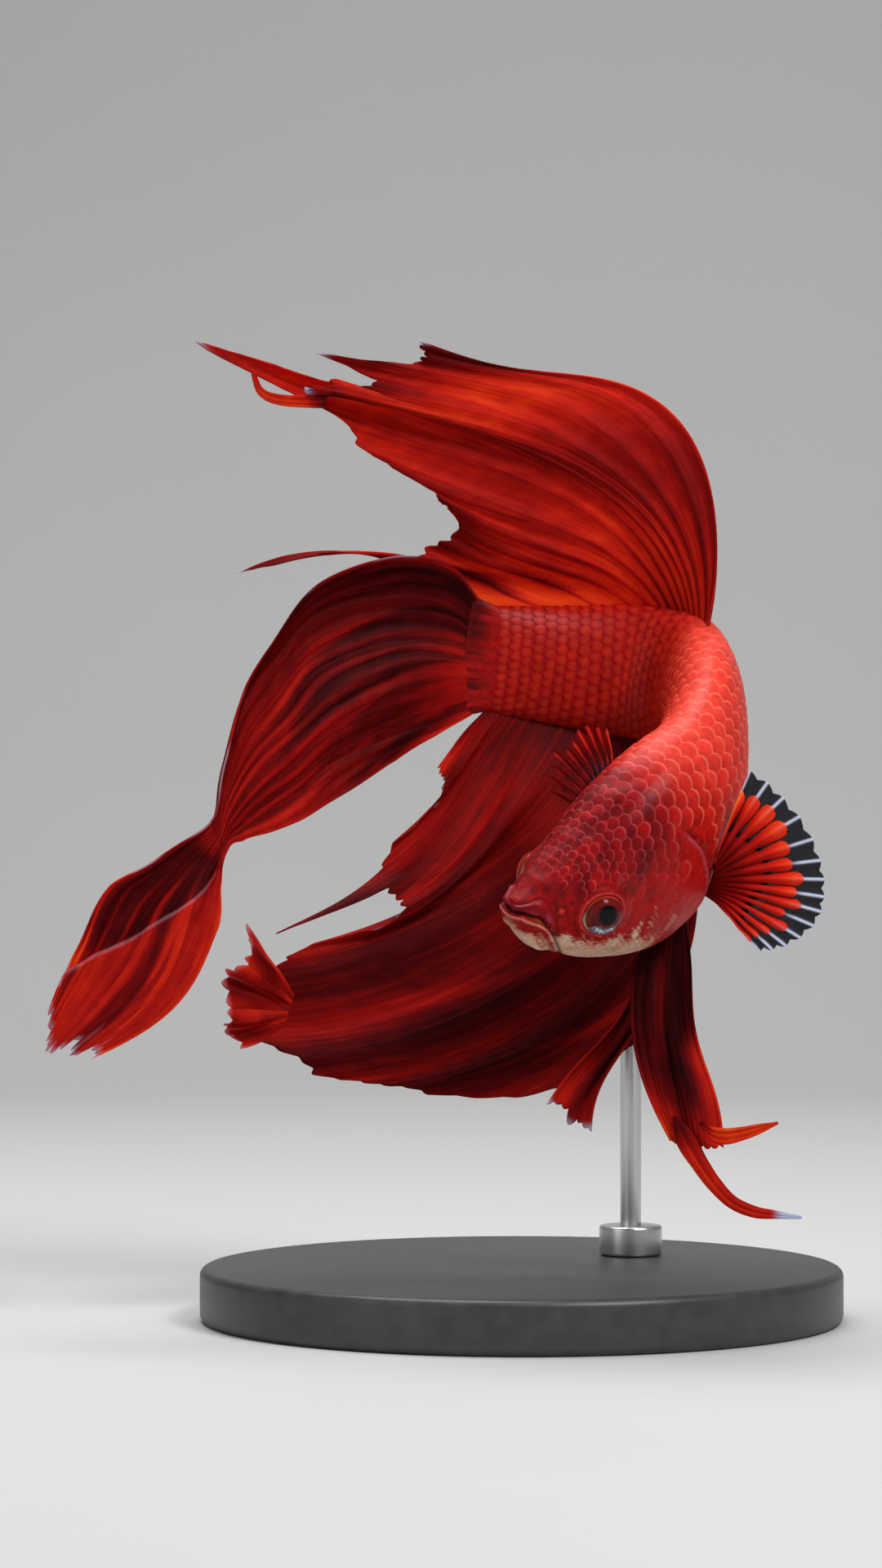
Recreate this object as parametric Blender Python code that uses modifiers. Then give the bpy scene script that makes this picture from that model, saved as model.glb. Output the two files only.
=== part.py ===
"""A red fighting fish with long fins, life size, caught in a turn and held on a plain display stand.

Lengths are in millimetres and become metres when a mesh is made. The origin is the middle of the
underside of the stand's base, +Z is up, and the tail half of the fish runs along +X to its bend.
The backbone, the body's sections and the rays of each fin are the driving dimensions.
"""

import math

import bmesh
import bpy
import numpy as np
from mathutils import Matrix, Vector

MM = 0.001
GAP = 0.3                  # left between pieces that touch
FIN_THICKNESS = 0.5
ROUTE_STEPS = 400          # how finely a route is measured
RAY_STEPS = 60             # how finely a ray's bend is followed

# ---- body: snout to tail base -------------------------------------------------------------

# The backbone's route: snout, eyes, nape, shoulder, the bend, and the straight tail half.
BACKBONE = (
    (-1, -21, 31),
    (4, -17, 33),
    (8.5, -13, 35.5),
    (12, -8.5, 39),
    (13.5, -3, 43.5),
    (13, 3, 47),
    (9.5, 6.5, 48.5),
    (4, 6.5, 49),
    (-2, 5, 49.5),
)

# Sections: place along the backbone (0 snout, 1 tail base), half width, height above and below
# the backbone, and the roll of the section towards the fish's left, in degrees.
SECTIONS = (
    (0.00, 1.2, 1.0, 1.1, 26),
    (0.04, 2.1, 2.2, 3.3, 26),
    (0.11, 3.4, 4.3, 5.5, 26),
    (0.20, 4.3, 6.7, 7.0, 25),
    (0.29, 4.5, 7.6, 7.3, 22),
    (0.40, 4.0, 7.2, 6.8, 15),
    (0.52, 3.3, 6.4, 6.2, 6),
    (0.65, 3.0, 5.7, 5.6, 0),
    (0.80, 2.5, 5.1, 5.2, -3),
    (0.92, 1.8, 4.5, 4.6, -3),
    (1.00, 1.1, 4.1, 4.1, -3),
)
SIDES = 28                 # facets round the body
HEAD_SQUARENESS = 2.6      # exponent of the section's outline at the head
SQUARE_FADE = (0.17, 0.41)  # places between which the outline eases to an ellipse
SNOUT_TIP = 0.2            # ahead of the backbone's start
HEAD_START = 0.004
HEAD_END = 0.29            # the gill cover's edge
TRUNK_END = 0.60           # in the bend
TAIL_END = 1.0
RINGS = (24, 11, 13)       # sections in the head, the trunk and the tail half

MOUTH_CORNER_BACK = 3.3    # behind the snout
MOUTH_SLOPE = 1.1          # drop of the mouth's slit for each millimetre back
LIP_HEIGHT = 0.28
LIP_SPREAD = 0.75          # from the slit to the crest of a lip
LIP_WIDTH = 0.41
SLIT_WIDTH = 0.26
LIP_FADE = 3.0             # how sharply the lips end at the mouth's corner

EYE_PLACE = 0.108          # along the backbone
EYE_OUT = 3.0              # from the backbone to the eye's centre
EYE_UP = -0.3
EYE_AHEAD = 0.42           # how far the eye looks forward, as the tangent of the angle
EYE_RADIUS = 1.7
EYE_DEPTH = 1.65           # half thickness of the lens-shaped eye
EYE_FACETS = (16, 8)       # round the eye, and from pole to pole

# ---- fins ---------------------------------------------------------------------------------

# A ray leaves its base and bends through four headings, at none, a third, two thirds and all of
# its length, in degrees in the upright plane (0 along +X, 90 up). Its depth, along Y, is given at
# a third, two thirds and all of its length. The web between the rays ends at a fraction of them.
# Columns: base place on the backbone (along the base on a paired fin), length, web, four headings,
# three depths.
DORSAL_RAYS = (
    (0.655, 37.6, 0.97, 75, 107, 173, 158, 3.0, 4.5, 2.0),
    (0.685, 39.2, 0.83, 88, 134, 168, 166, 3.5, 3.0, 0.0),
    (0.710, 36.0, 0.96, 97, 145, 166, 167, 3.5, 2.0, -1.0),
    (0.735, 42.7, 0.71, 112, 152, 162, 157, 4.0, 2.0, -3.0),
    (0.765, 20.6, 1.00, 125, 158, 159, 150, 5.0, 4.0, 2.5),
    (0.820, 14.4, 1.00, 152, 161, 162, 152, 6.3, 5.8, 5.2),
    (0.975, 22.4, 0.40, 178, 148, 182, 211, 6.5, 5.5, 3.5),
)
ANAL_RAYS = (
    (1.00, 6.0, 1.00, 222, 228, 232, 238, 4.8, 4.2, 3.5),
    (0.98, 9.0, 1.00, 228, 234, 236, 238, 4.4, 3.4, 2.6),
    (0.955, 25.8, 0.64, 232, 239, 210, 203, 3.5, 1.0, -1.0),
    (0.90, 18.5, 0.97, 240, 238, 228, 206, 4.0, 1.5, -0.5),
    (0.81, 31.0, 0.97, 241, 223, 206, 188, 3.8, 1.0, -1.5),
    (0.72, 41.0, 1.00, 253, 224, 200, 176, 3.0, 0.5, -2.0),
    (0.63, 40.3, 0.97, 268, 230, 203, 185, 1.6, 0.5, -1.5),
    (0.55, 33.5, 0.97, 270, 244, 211, 189, 0.0, -0.5, -1.0),
    (0.47, 17.0, 1.00, 272, 265, 250, 232, -2.0, -2.5, -3.0),
)
PECTORAL_RAYS = (
    (0.00, 7.2, 1.00, 74, 70, 68, 66, -13.0, -13.4, -13.6),
    (0.17, 7.2, 1.00, 50, 45, 43, 41, -13.3, -13.9, -14.2),
    (0.33, 7.6, 1.00, 22, 17, 15, 13, -13.5, -14.3, -14.9),
    (0.50, 8.0, 1.00, 0, -3, -4, -5, -13.6, -14.5, -15.2),
    (0.67, 7.9, 1.00, -14, -17, -19, -21, -13.5, -14.3, -15.0),
    (0.83, 6.8, 1.00, -28, -33, -36, -39, -13.2, -13.8, -14.3),
    (1.00, 5.5, 1.00, -40, -46, -49, -51, -12.8, -13.2, -13.5),
)
FAR_PECTORAL_RAYS = (
    (0.00, 9.0, 1.00, 84, 94, 98, 100, -6.5, -3.5, -1.0),
    (0.33, 9.5, 1.00, 100, 110, 116, 120, -6.2, -3.2, -0.5),
    (0.67, 9.5, 1.00, 116, 127, 134, 140, -6.0, -3.0, -0.5),
    (1.00, 8.5, 1.00, 132, 144, 152, 158, -6.0, -3.0, -1.0),
)
PELVIC_RAYS = (
    (0.00, 17.6, 1.00, 235, 262, 285, 304, -9.5, -10.2, -10.7),
    (0.25, 17.4, 1.00, 246, 266, 283, 294, -9.3, -10.0, -10.5),
    (0.50, 17.0, 1.00, 259, 268, 281, 284, -9.1, -9.8, -10.3),
    (0.75, 17.2, 1.00, 269, 271, 285, 274, -8.8, -9.7, -10.3),
    (1.00, 17.3, 1.00, 284, 271, 290, 270, -8.6, -9.6, -10.2),
)
FAR_PELVIC_RAYS = (
    (0.00, 18.3, 0.97, 255, 260, 226, 238, -6.5, -6.0, -6.5),
    (0.50, 19.0, 0.95, 258, 262, 234, 244, -6.5, -6.0, -6.8),
    (1.00, 18.6, 1.00, 262, 262, 234, 270, -6.5, -6.0, -6.5),
)

# Each of these fins' grid: columns across it, rows out along it, pleats, and the pleats' height.
DORSAL_GRID = (19, 13, 6.0, 0.2)
ANAL_GRID = (25, 12, 7.0, 0.1)
PECTORAL_GRID = (13, 6, 6.0, 0.3)
FAR_PECTORAL_GRID = (10, 6, 5.0, 0.3)
PELVIC_GRID = (9, 8, 2.0, 0.2)
FAR_PELVIC_GRID = (7, 9, 1.5, 0.1)
PLEAT_GROWTH = 1.5         # the pleats deepen towards the fin's edge as this power of the way out

# Where a paired fin grows: the fish's side (1 left, -1 right), its place along the backbone, and
# the angles round the body of its first ray and its last (0 top, 90 the side, 180 bottom).
PECTORAL_BASE = (1, 0.31, 100, 128)
FAR_PECTORAL_BASE = (-1, 0.315, 88, 112)
PELVIC_BASE = (1, 0.30, 180, 155)
FAR_PELVIC_BASE = (-1, 0.33, 160, 172)
MEDIAN_LIFT = GAP + FIN_THICKNESS / 4  # a fin's foot above the line of the back or the belly
PAIRED_LIFT = GAP + FIN_THICKNESS      # a paired fin's foot off the flank

# A veil is a sheet carried along a route. Its sections: place along the route, width, the way from
# the lower edge to the upper one in the upright plane (0 along +X, 90 up), and the sheet's headings
# at even steps across it (0 straight across, 90 towards the front), all in degrees.
CAUDAL_ROUTE = (
    (-2.95, 4.9, 49.4),
    (-5.9, 3.9, 50),
    (-9.8, 2.4, 49.5),
    (-14.6, 0.2, 47.4),
    (-17.6, -1, 44.4),
    (-20, -1.7, 41.8),
    (-21.8, -2.3, 38.4),
    (-22.6, -2.7, 36.1),
    (-24.8, -3.4, 33.3),
    (-26.7, -4, 30.7),
    (-29.3, -5, 25.9),
    (-34.1, -5.5, 20.7),
)
CAUDAL_SECTIONS = (
    (0.00, 7.9, 85, 0, 0, 0, 0, 0),
    (0.065, 13.0, 85, 0, 10, -10, 10, 20),
    (0.15, 16.0, 92, 0, 15, -15, 10, 45),
    (0.27, 17.0, 100, -10, 15, -15, 10, 70),
    (0.36, 15.2, 102, -10, 20, -20, 10, 80),
    (0.44, 12.2, 104, -10, 25, -20, 15, 90),
    (0.52, 7.0, 108, 0, 30, -10, 30, 100),
    (0.58, 3.4, 121, 20, 40, 20, 40, 90),
    (0.655, 5.4, 158, 30, 20, 0, 20, 60),
    (0.725, 9.2, 161, 30, 10, -20, 20, 50),
    (0.845, 9.0, 146, 20, 0, -20, 20, 50),
    (1.00, 4.0, 128, 10, 0, 0, 10, 20),
)
CAUDAL_WAIST = 0.58        # where the fin is divided
CAUDAL_GRID = (17, 15)     # columns across, rows along
CAUDAL_LOBE_GRID = (17, 11)
ANAL_CORNER_ROUTE = ((-16.3, -3.0, 22.6), (-18.6, -3.8, 24.2), (-20, -4.8, 27.2))
ANAL_CORNER_SECTIONS = (
    (0.0, 1.6, 55, -20, 0, 30),
    (0.5, 4.2, 40, -40, 0, 60),
    (1.0, 5.6, 25, -50, 0, 70),
)
ANAL_CORNER_GRID = (9, 5)
STREAMER_ROUTE = ((-14.5, -0.6, 68.5), (-17.8, -0.8, 68.6), (-19.4, -1, 69.2), (-20, -1.2, 70.6))
STREAMER_SECTIONS = ((0.0, 0.9, 88, 0, 0), (0.6, 0.7, 80, 0, 0), (1.0, 0.3, 25, 0, 0))
STREAMER_GRID = (3, 9)
PELVIC_STREAMER_ROUTE = (
    (11.7, -10.9, 14.3),
    (12.8, -11.0, 12.4),
    (13.8, -11.0, 11.0),
    (15.1, -11.0, 9.7),
    (16.7, -11.0, 9.0),
    (18.2, -11.0, 8.8),
    (20.1, -11.0, 8.6),
)
PELVIC_STREAMER_SECTIONS = (
    (0.00, 1.3, 30, 0, 0),
    (0.20, 1.2, 34, 0, 0),
    (0.50, 0.9, 52, 0, 0),
    (0.70, 0.75, 80, 0, 0),
    (1.00, 0.45, 88, 0, 0),
)
PELVIC_STREAMER_GRID = (3, 10)
PELVIC_TIP_ROUTE = (
    (12.8, -11.3, 15.6),
    (13.5, -11.4, 14.75),
    (14.6, -11.5, 14.5),
    (15.8, -11.5, 14.7),
    (16.9, -11.4, 15.0),
    (18.4, -11.3, 15.5),
)
PELVIC_TIP_SECTIONS = (
    (0.0, 0.9, 220, -40, 0, 40),
    (0.3, 1.2, 262, -40, 0, 40),
    (0.7, 0.9, 280, -30, 0, 30),
    (1.0, 0.3, 290, 0, 0, 0),
)
PELVIC_TIP_GRID = (3, 8)

# ---- stand --------------------------------------------------------------------------------

BASE_RADIUS = 24.0
BASE_HEIGHT = 4.0
BASE_EDGE = 0.6
BASE_SIDES = 64
ROD_RADIUS = 0.8
ROD_PLACE = (8.5, 8.2)
ROD_TOP = 46.0
COLLAR_RADIUS = 2.4
COLLAR_HEIGHT = 2.0
COLLAR_SIDES = 32
ROD_SIDES = 20


def smooth(keys, t):
    """Cubic curve through evenly spaced keys: each span leaves and arrives at its ends with the
    slope from the key before to the key after. t runs from 0 to 1 and may be an array."""
    keys = np.asarray(keys, float)
    last = len(keys) - 1
    x = np.clip(np.asarray(t, float), 0, 1) * last
    k = np.minimum(x.astype(int), last - 1)
    f = (x - k).reshape(x.shape + (1,) * (keys.ndim - 1))
    before, after = keys[np.maximum(k - 1, 0)], keys[np.minimum(k + 2, last)]
    a, b = keys[k], keys[k + 1]
    slope_a = np.where((k == 0).reshape(f.shape), b - a, (b - before) / 2)
    slope_b = np.where((k == last - 1).reshape(f.shape), b - a, (after - a) / 2)
    return (a * (1 + 2 * f) * (1 - f) ** 2 + slope_a * f * (1 - f) ** 2
            + b * f * f * (3 - 2 * f) - slope_b * f * f * (1 - f))


def smooth_table(rows, place):
    """The columns of a table at given places, where the first column is the rows' own place."""
    rows = np.asarray(rows, float)
    even = np.interp(place, rows[:, 0], np.linspace(0, 1, len(rows)))
    return smooth(rows[:, 1:], even)


def unit(vectors):
    return vectors / np.linalg.norm(vectors, axis=-1, keepdims=True)


def measured(route):
    """Fine points along a smooth route, and the length of the route up to each of them."""
    fine = smooth(route, np.linspace(0, 1, ROUTE_STEPS))
    steps = np.linalg.norm(np.diff(fine, axis=0), axis=1)
    return fine, np.concatenate(([0], np.cumsum(steps)))


def half_gap(route):
    """Half of the gap between two pieces on a route, as a fraction of its length."""
    return GAP / 2 / measured(route)[1][-1]


def along(route, place):
    """Points of a smooth route at given fractions of its length, and its direction there."""
    fine, length = measured(route)
    length = length / length[-1]
    points = np.stack([np.interp(place, length, fine[:, i]) for i in range(3)], axis=-1)
    slopes = np.gradient(fine, length, axis=0)
    heading = np.stack([np.interp(place, length, slopes[:, i]) for i in range(3)], axis=-1)
    return points, unit(heading)


def body_frame(place):
    """Centre, forward, left and up of the body at places along the backbone."""
    centre, backward = along(BACKBONE, place)
    forward = -backward
    level = unit(np.array((0.0, 0.0, 1.0)) - forward * forward[..., 2:3])
    side = np.cross(level, forward)
    roll = np.radians(smooth_table(SECTIONS, place)[..., 3:4])
    up = level * np.cos(roll) + side * np.sin(roll)
    return centre, forward, np.cross(up, forward), up


def body_point(place, angle, lift=0.0):
    """Point of the skin: place along the backbone, angle round it (0 top, 90 left, 180 bottom)."""
    centre, _, left, up = body_frame(place)
    half, above, below, _ = np.moveaxis(smooth_table(SECTIONS, place), -1, 0)
    squareness = np.interp(place, SQUARE_FADE, (HEAD_SQUARENESS, 2.0))
    out, rise = np.sin(angle), np.cos(angle)
    across = np.sign(out) * np.abs(out) ** (2 / squareness) * (half + lift)
    height = np.where(rise > 0, above, below) + lift
    tall = np.sign(rise) * np.abs(rise) ** (2 / squareness) * height
    return centre + left * across[..., None] + up * tall[..., None]


def lips(points):
    """Push the points round the mouth out into two lips, with the slit between them.

    The slit is the plane that falls back from the snout; each lip is a rounded ridge beside it,
    fading behind the mouth's corner."""
    snout, forward, _, up = body_frame(np.array(0.0))
    away = points - snout
    back = -away @ forward
    drop = -away @ up
    from_slit = (drop - MOUTH_SLOPE * back) / math.hypot(1, MOUTH_SLOPE)
    ridge = np.exp(-(((np.abs(from_slit) - LIP_SPREAD) / LIP_WIDTH) ** 2))
    slit = np.exp(-((from_slit / SLIT_WIDTH) ** 2))
    fade = 1 / (1 + np.exp((back - MOUTH_CORNER_BACK) * LIP_FADE))
    middle = snout - forward * MOUTH_CORNER_BACK
    outwards = unit(points - middle)
    return points + outwards * (LIP_HEIGHT * (ridge - slit) * fade)[..., None]


# ---- making meshes ------------------------------------------------------------------------

def new_object(name, mesh, material, collection):
    piece = bpy.data.objects.new(name, mesh)
    collection.objects.link(piece)
    mesh.materials.append(material)
    return piece


def paint(name, colour, roughness, metallic=0.0):
    material = bpy.data.materials.new(name)
    material.use_nodes = True
    shader = material.node_tree.nodes["Principled BSDF"]
    shader.inputs["Base Color"].default_value = (*colour, 1)
    shader.inputs["Roughness"].default_value = roughness
    shader.inputs["Metallic"].default_value = metallic
    return material


def loft(name, rings, material, collection, tip=None):
    """A closed body through rings of points, its ends capped flat, or closed to a tip."""
    count, around = rings.shape[:2]
    shape = bmesh.new()
    grid = [[shape.verts.new(Vector(point) * MM) for point in ring] for ring in rings]
    for near, far in zip(grid, grid[1:]):
        for k in range(around):
            shape.faces.new((near[k], near[k - 1], far[k - 1], far[k]))
    shape.faces.new(grid[-1])
    if tip is None:
        shape.faces.new(grid[0])
    else:
        point = shape.verts.new(Vector(tip) * MM)
        for k in range(around):
            shape.faces.new((point, grid[0][k - 1], grid[0][k]))
    bmesh.ops.recalc_face_normals(shape, faces=shape.faces)
    mesh = bpy.data.meshes.new(name)
    shape.to_mesh(mesh)
    shape.free()
    mesh.shade_smooth()
    return new_object(name, mesh, material, collection)


def sheet(name, points, material, collection):
    """A thin fin: a grid whose corners are moved on to the surface, given its thickness."""
    across, out = points.shape[:2]
    shape = bmesh.new()
    bmesh.ops.create_grid(shape, x_segments=across - 1, y_segments=out - 1, size=1)
    corners = sorted(shape.verts, key=lambda v: (round(v.co.x, 5), round(v.co.y, 5)))
    for corner, point in zip(corners, points.reshape(-1, 3)):
        corner.co = Vector(point) * MM
    mesh = bpy.data.meshes.new(name)
    shape.to_mesh(mesh)
    shape.free()
    mesh.shade_smooth()
    piece = new_object(name, mesh, material, collection)
    wall = piece.modifiers.new("thickness", "SOLIDIFY")
    wall.thickness = FIN_THICKNESS * MM
    wall.offset = 0
    return piece


def fan(base, rays, grid):
    """The surface of a fin held by rays. Across the fin the rays' table is read smoothly; along a
    ray the point moves by its length at its heading, and its depth is read from its four depths.
    The web's edge is smooth, and each ray runs on past it to its own tip."""
    columns, rows, pleats, pleat_height = grid
    rays = np.asarray(rays, float)
    across = np.linspace(0, 1, columns)
    table = smooth(rays, across)
    place, length, web = table[:, 0], table[:, 1], table[:, 2]
    root = base(place)
    nearest = np.abs(across * (len(rays) - 1) - np.round(across * (len(rays) - 1)))
    column_step = (len(rays) - 1) / (columns - 1)
    tip = np.maximum(0, 1 - nearest / column_step)
    reach = web + (1 - web) * tip
    steps = np.linspace(0, 1, RAY_STEPS + 1)
    headings = np.radians(smooth(table[:, 3:7].T, steps))
    run = np.cumsum((np.cos(headings[1:]) + np.cos(headings[:-1])) / 2, axis=0) / RAY_STEPS
    rise = np.cumsum((np.sin(headings[1:]) + np.sin(headings[:-1])) / 2, axis=0) / RAY_STEPS
    run, rise = (np.vstack((np.zeros(columns), x)) * length for x in (run, rise))
    depths = smooth(np.vstack((root[:, 1], table[:, 7:10].T)), steps)
    points = np.empty((columns, rows, 3))
    for k in range(columns):
        out = np.linspace(0, 1, rows) * reach[k]
        points[k, :, 0] = root[k, 0] + np.interp(out, steps, run[:, k])
        points[k, :, 1] = np.interp(out, steps, depths[:, k])
        points[k, :, 2] = root[k, 2] + np.interp(out, steps, rise[:, k])
        points[k, :, 1] += pleat_height * np.sin(math.pi * pleats * across[k]) * out ** PLEAT_GROWTH
    return points


def veil(route, sections, grid, start=0.0, end=1.0):
    """The surface of a sheet carried along a route: each section starts at its lower edge and
    moves at the headings of its table, and its mean lies on the route."""
    columns, rows = grid
    places = np.linspace(start, end, rows)
    centre, heading = along(route, places)
    table = smooth_table(sections, places)
    width, lean, angles = table[:, 0], np.radians(table[:, 1]), np.radians(table[:, 2:])
    edgeways = np.stack((np.cos(lean), np.zeros(rows), np.sin(lean)), axis=-1)
    frontways = unit(np.cross(edgeways, heading))
    turn = smooth(angles.T, np.linspace(0, 1, columns))
    step = width / (columns - 1)
    along_edge = np.cumsum(np.cos(turn[1:] / 2 + turn[:-1] / 2), axis=0)
    along_front = np.cumsum(np.sin(turn[1:] / 2 + turn[:-1] / 2), axis=0)
    points = np.empty((columns, rows, 3))
    points[0] = 0
    points[1:] = (edgeways * (along_edge * step)[..., None]
                  + frontways * (along_front * step)[..., None])
    return points - points.mean(axis=0) + centre


def cut(piece, cutter):
    """Take a cutter away from a piece."""
    knife = piece.modifiers.new("cut", "BOOLEAN")
    knife.operation = "DIFFERENCE"
    knife.object = cutter


def cylinder(name, radius, bottom, top, place, material, collection, sides):
    shape = bmesh.new()
    bmesh.ops.create_cone(shape, cap_ends=True, segments=sides, radius1=radius * MM,
                          radius2=radius * MM, depth=(top - bottom) * MM)
    mesh = bpy.data.meshes.new(name)
    shape.to_mesh(mesh)
    shape.free()
    piece = new_object(name, mesh, material, collection)
    piece.location = Vector((place[0], place[1], (bottom + top) / 2)) * MM
    return piece


def guide(piece):
    """Mark a piece as a cutter: it shapes others and isn't one itself."""
    piece.hide_render = True
    piece.display_type = "WIRE"
    return piece


# ---- the fish -----------------------------------------------------------------------------

def make_flesh(parts, skin):
    """The head, trunk and tail half, one loft divided by two thin cuts."""
    angles = np.linspace(0, 2 * math.pi, SIDES, endpoint=False)
    gap = half_gap(BACKBONE)
    spans = {
        "head": (HEAD_START, HEAD_END - gap),
        "trunk": (HEAD_END + gap, TRUNK_END - gap),
        "tail_trunk": (TRUNK_END + gap, TAIL_END),
    }
    made = {}
    for (name, (start, end)), count in zip(spans.items(), RINGS):
        places = np.linspace(start, end, count)[:, None] * np.ones_like(angles)
        rings = body_point(places, np.broadcast_to(angles, places.shape))
        tip = None
        if name == "head":
            rings = lips(rings)
            centre, forward, _, _ = body_frame(np.array(0.0))
            tip = centre + forward * SNOUT_TIP
        made[name] = loft(name, rings, skin, parts, tip)
    return made


def make_eyes(parts, cutters, head, material):
    """Lens-shaped eyes, each in a socket of its own shape and a little larger."""
    centre, forward, left, up = body_frame(np.array(EYE_PLACE))
    for side, name in ((1, "left"), (-1, "right")):
        middle = centre + left * EYE_OUT * side + up * EYE_UP
        looks = unit(left * side + forward * EYE_AHEAD)
        turn = Matrix((np.cross(up, looks), up, looks)).transposed()
        for role, extra, group in (("eye", 0, parts), ("socket", GAP, cutters)):
            shape = bmesh.new()
            bmesh.ops.create_uvsphere(shape, u_segments=EYE_FACETS[0], v_segments=EYE_FACETS[1],
                                      radius=1)
            wide, deep = (EYE_RADIUS + extra) * MM, (EYE_DEPTH + extra) * MM
            bmesh.ops.scale(shape, vec=(wide, wide, deep), verts=shape.verts)
            mesh = bpy.data.meshes.new(f"{role}_{name}")
            shape.to_mesh(mesh)
            shape.free()
            mesh.shade_smooth()
            piece = new_object(f"{role}_{name}", mesh, material, group)
            piece.matrix_world = Matrix.Translation(Vector(middle) * MM) @ turn.to_4x4()
            if role == "socket":
                cut(head, guide(piece))


def back_line(place):
    """The foot of the dorsal fin, above the line of the back."""
    return body_point(place, np.zeros_like(place), MEDIAN_LIFT)


def belly_line(place):
    """The foot of the anal fin, below the line of the belly."""
    return body_point(place, np.full_like(place, math.pi), MEDIAN_LIFT)


def flank_line(side, body_place, first, last):
    """The foot of a paired fin: a short line round the flank at one place of the body."""
    def foot(place):
        angle = side * np.radians(first + (last - first) * place)
        return body_point(np.full_like(place, body_place), angle, PAIRED_LIFT)
    return foot


def make_fins(parts, web):
    """The fins held by rays: two on the midline, and a near and a far one of each pair."""
    fins = {
        "dorsal_fin": (back_line, DORSAL_RAYS, DORSAL_GRID),
        "anal_fin": (belly_line, ANAL_RAYS, ANAL_GRID),
        "pectoral_fin_left": (flank_line(*PECTORAL_BASE), PECTORAL_RAYS, PECTORAL_GRID),
        "pectoral_fin_right": (flank_line(*FAR_PECTORAL_BASE), FAR_PECTORAL_RAYS,
                               FAR_PECTORAL_GRID),
        "pelvic_fin_left": (flank_line(*PELVIC_BASE), PELVIC_RAYS, PELVIC_GRID),
        "pelvic_fin_right": (flank_line(*FAR_PELVIC_BASE), FAR_PELVIC_RAYS, FAR_PELVIC_GRID),
    }
    for name, (foot, rays, grid) in fins.items():
        sheet(name, fan(foot, rays, grid), web, parts)


def make_veils(parts, web):
    """The tail fin in two lengths, the anal fin's folded corner, and the thin streamers
    that hang from the dorsal and the near pelvic fin."""
    gap = half_gap(CAUDAL_ROUTE)
    veils = {
        "caudal_fin": (CAUDAL_ROUTE, CAUDAL_SECTIONS, CAUDAL_GRID, 0.0, CAUDAL_WAIST - gap),
        "caudal_fin_lobe": (CAUDAL_ROUTE, CAUDAL_SECTIONS, CAUDAL_LOBE_GRID, CAUDAL_WAIST + gap),
        "anal_fin_corner": (ANAL_CORNER_ROUTE, ANAL_CORNER_SECTIONS, ANAL_CORNER_GRID),
        "dorsal_streamer": (STREAMER_ROUTE, STREAMER_SECTIONS, STREAMER_GRID),
        "pelvic_fin_left_streamer": (PELVIC_STREAMER_ROUTE, PELVIC_STREAMER_SECTIONS,
                                     PELVIC_STREAMER_GRID),
        "pelvic_fin_left_tip": (PELVIC_TIP_ROUTE, PELVIC_TIP_SECTIONS, PELVIC_TIP_GRID),
    }
    for name, shape in veils.items():
        sheet(name, veil(*shape), web, parts)


def make_stand(parts, cutters, tail_trunk, plinth, metal):
    """A round base, a collar on it, and a rod into a socket in the tail half's far side."""
    base = cylinder("stand_base", BASE_RADIUS, 0, BASE_HEIGHT, (0, 0), plinth, parts, BASE_SIDES)
    edge = base.modifiers.new("edge", "BEVEL")
    edge.width = BASE_EDGE * MM
    edge.segments = 1
    edge.limit_method = "ANGLE"
    foot = BASE_HEIGHT + GAP
    collar = cylinder("stand_collar", COLLAR_RADIUS, foot, foot + COLLAR_HEIGHT, ROD_PLACE,
                      metal, parts, COLLAR_SIDES)
    cylinder("stand_rod", ROD_RADIUS, foot, ROD_TOP, ROD_PLACE, metal, parts, ROD_SIDES)
    bore = cylinder("rod_bore", ROD_RADIUS + GAP, 0, ROD_TOP + GAP, ROD_PLACE, metal, cutters,
                    ROD_SIDES)
    cut(tail_trunk, guide(bore))
    cut(collar, bore)


def main():
    for old in list(bpy.data.objects):
        bpy.data.objects.remove(old, do_unlink=True)
    parts = bpy.data.collections.new("betta_fish")
    cutters = bpy.data.collections.new("cutters")
    for group in (parts, cutters):
        bpy.context.scene.collection.children.link(group)
    skin = paint("scaled_skin", (0.55, 0.02, 0.01), 0.4)
    web = paint("fin_web", (0.7, 0.02, 0.01), 0.45)
    eye = paint("eye", (0.02, 0.01, 0.01), 0.05)
    plinth = paint("stand_plinth", (0.03, 0.03, 0.032), 0.4)
    metal = paint("stand_metal", (0.6, 0.6, 0.6), 0.35, metallic=1.0)
    flesh = make_flesh(parts, skin)
    make_eyes(parts, cutters, flesh["head"], eye)
    make_fins(parts, web)
    make_veils(parts, web)
    make_stand(parts, cutters, flesh["tail_trunk"], plinth, metal)


main()
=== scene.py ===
"""The looks of a red fighting fish with long fins, life size, on a plain display stand.

Lengths are in millimetres and become metres when a mesh is made. The origin is the middle of the
underside of the stand's base, +Z is up. Every surface is a grid: the body's is read at places along
the backbone and angles round it, a fin's across its rays and out along them.
"""

import math

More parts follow.
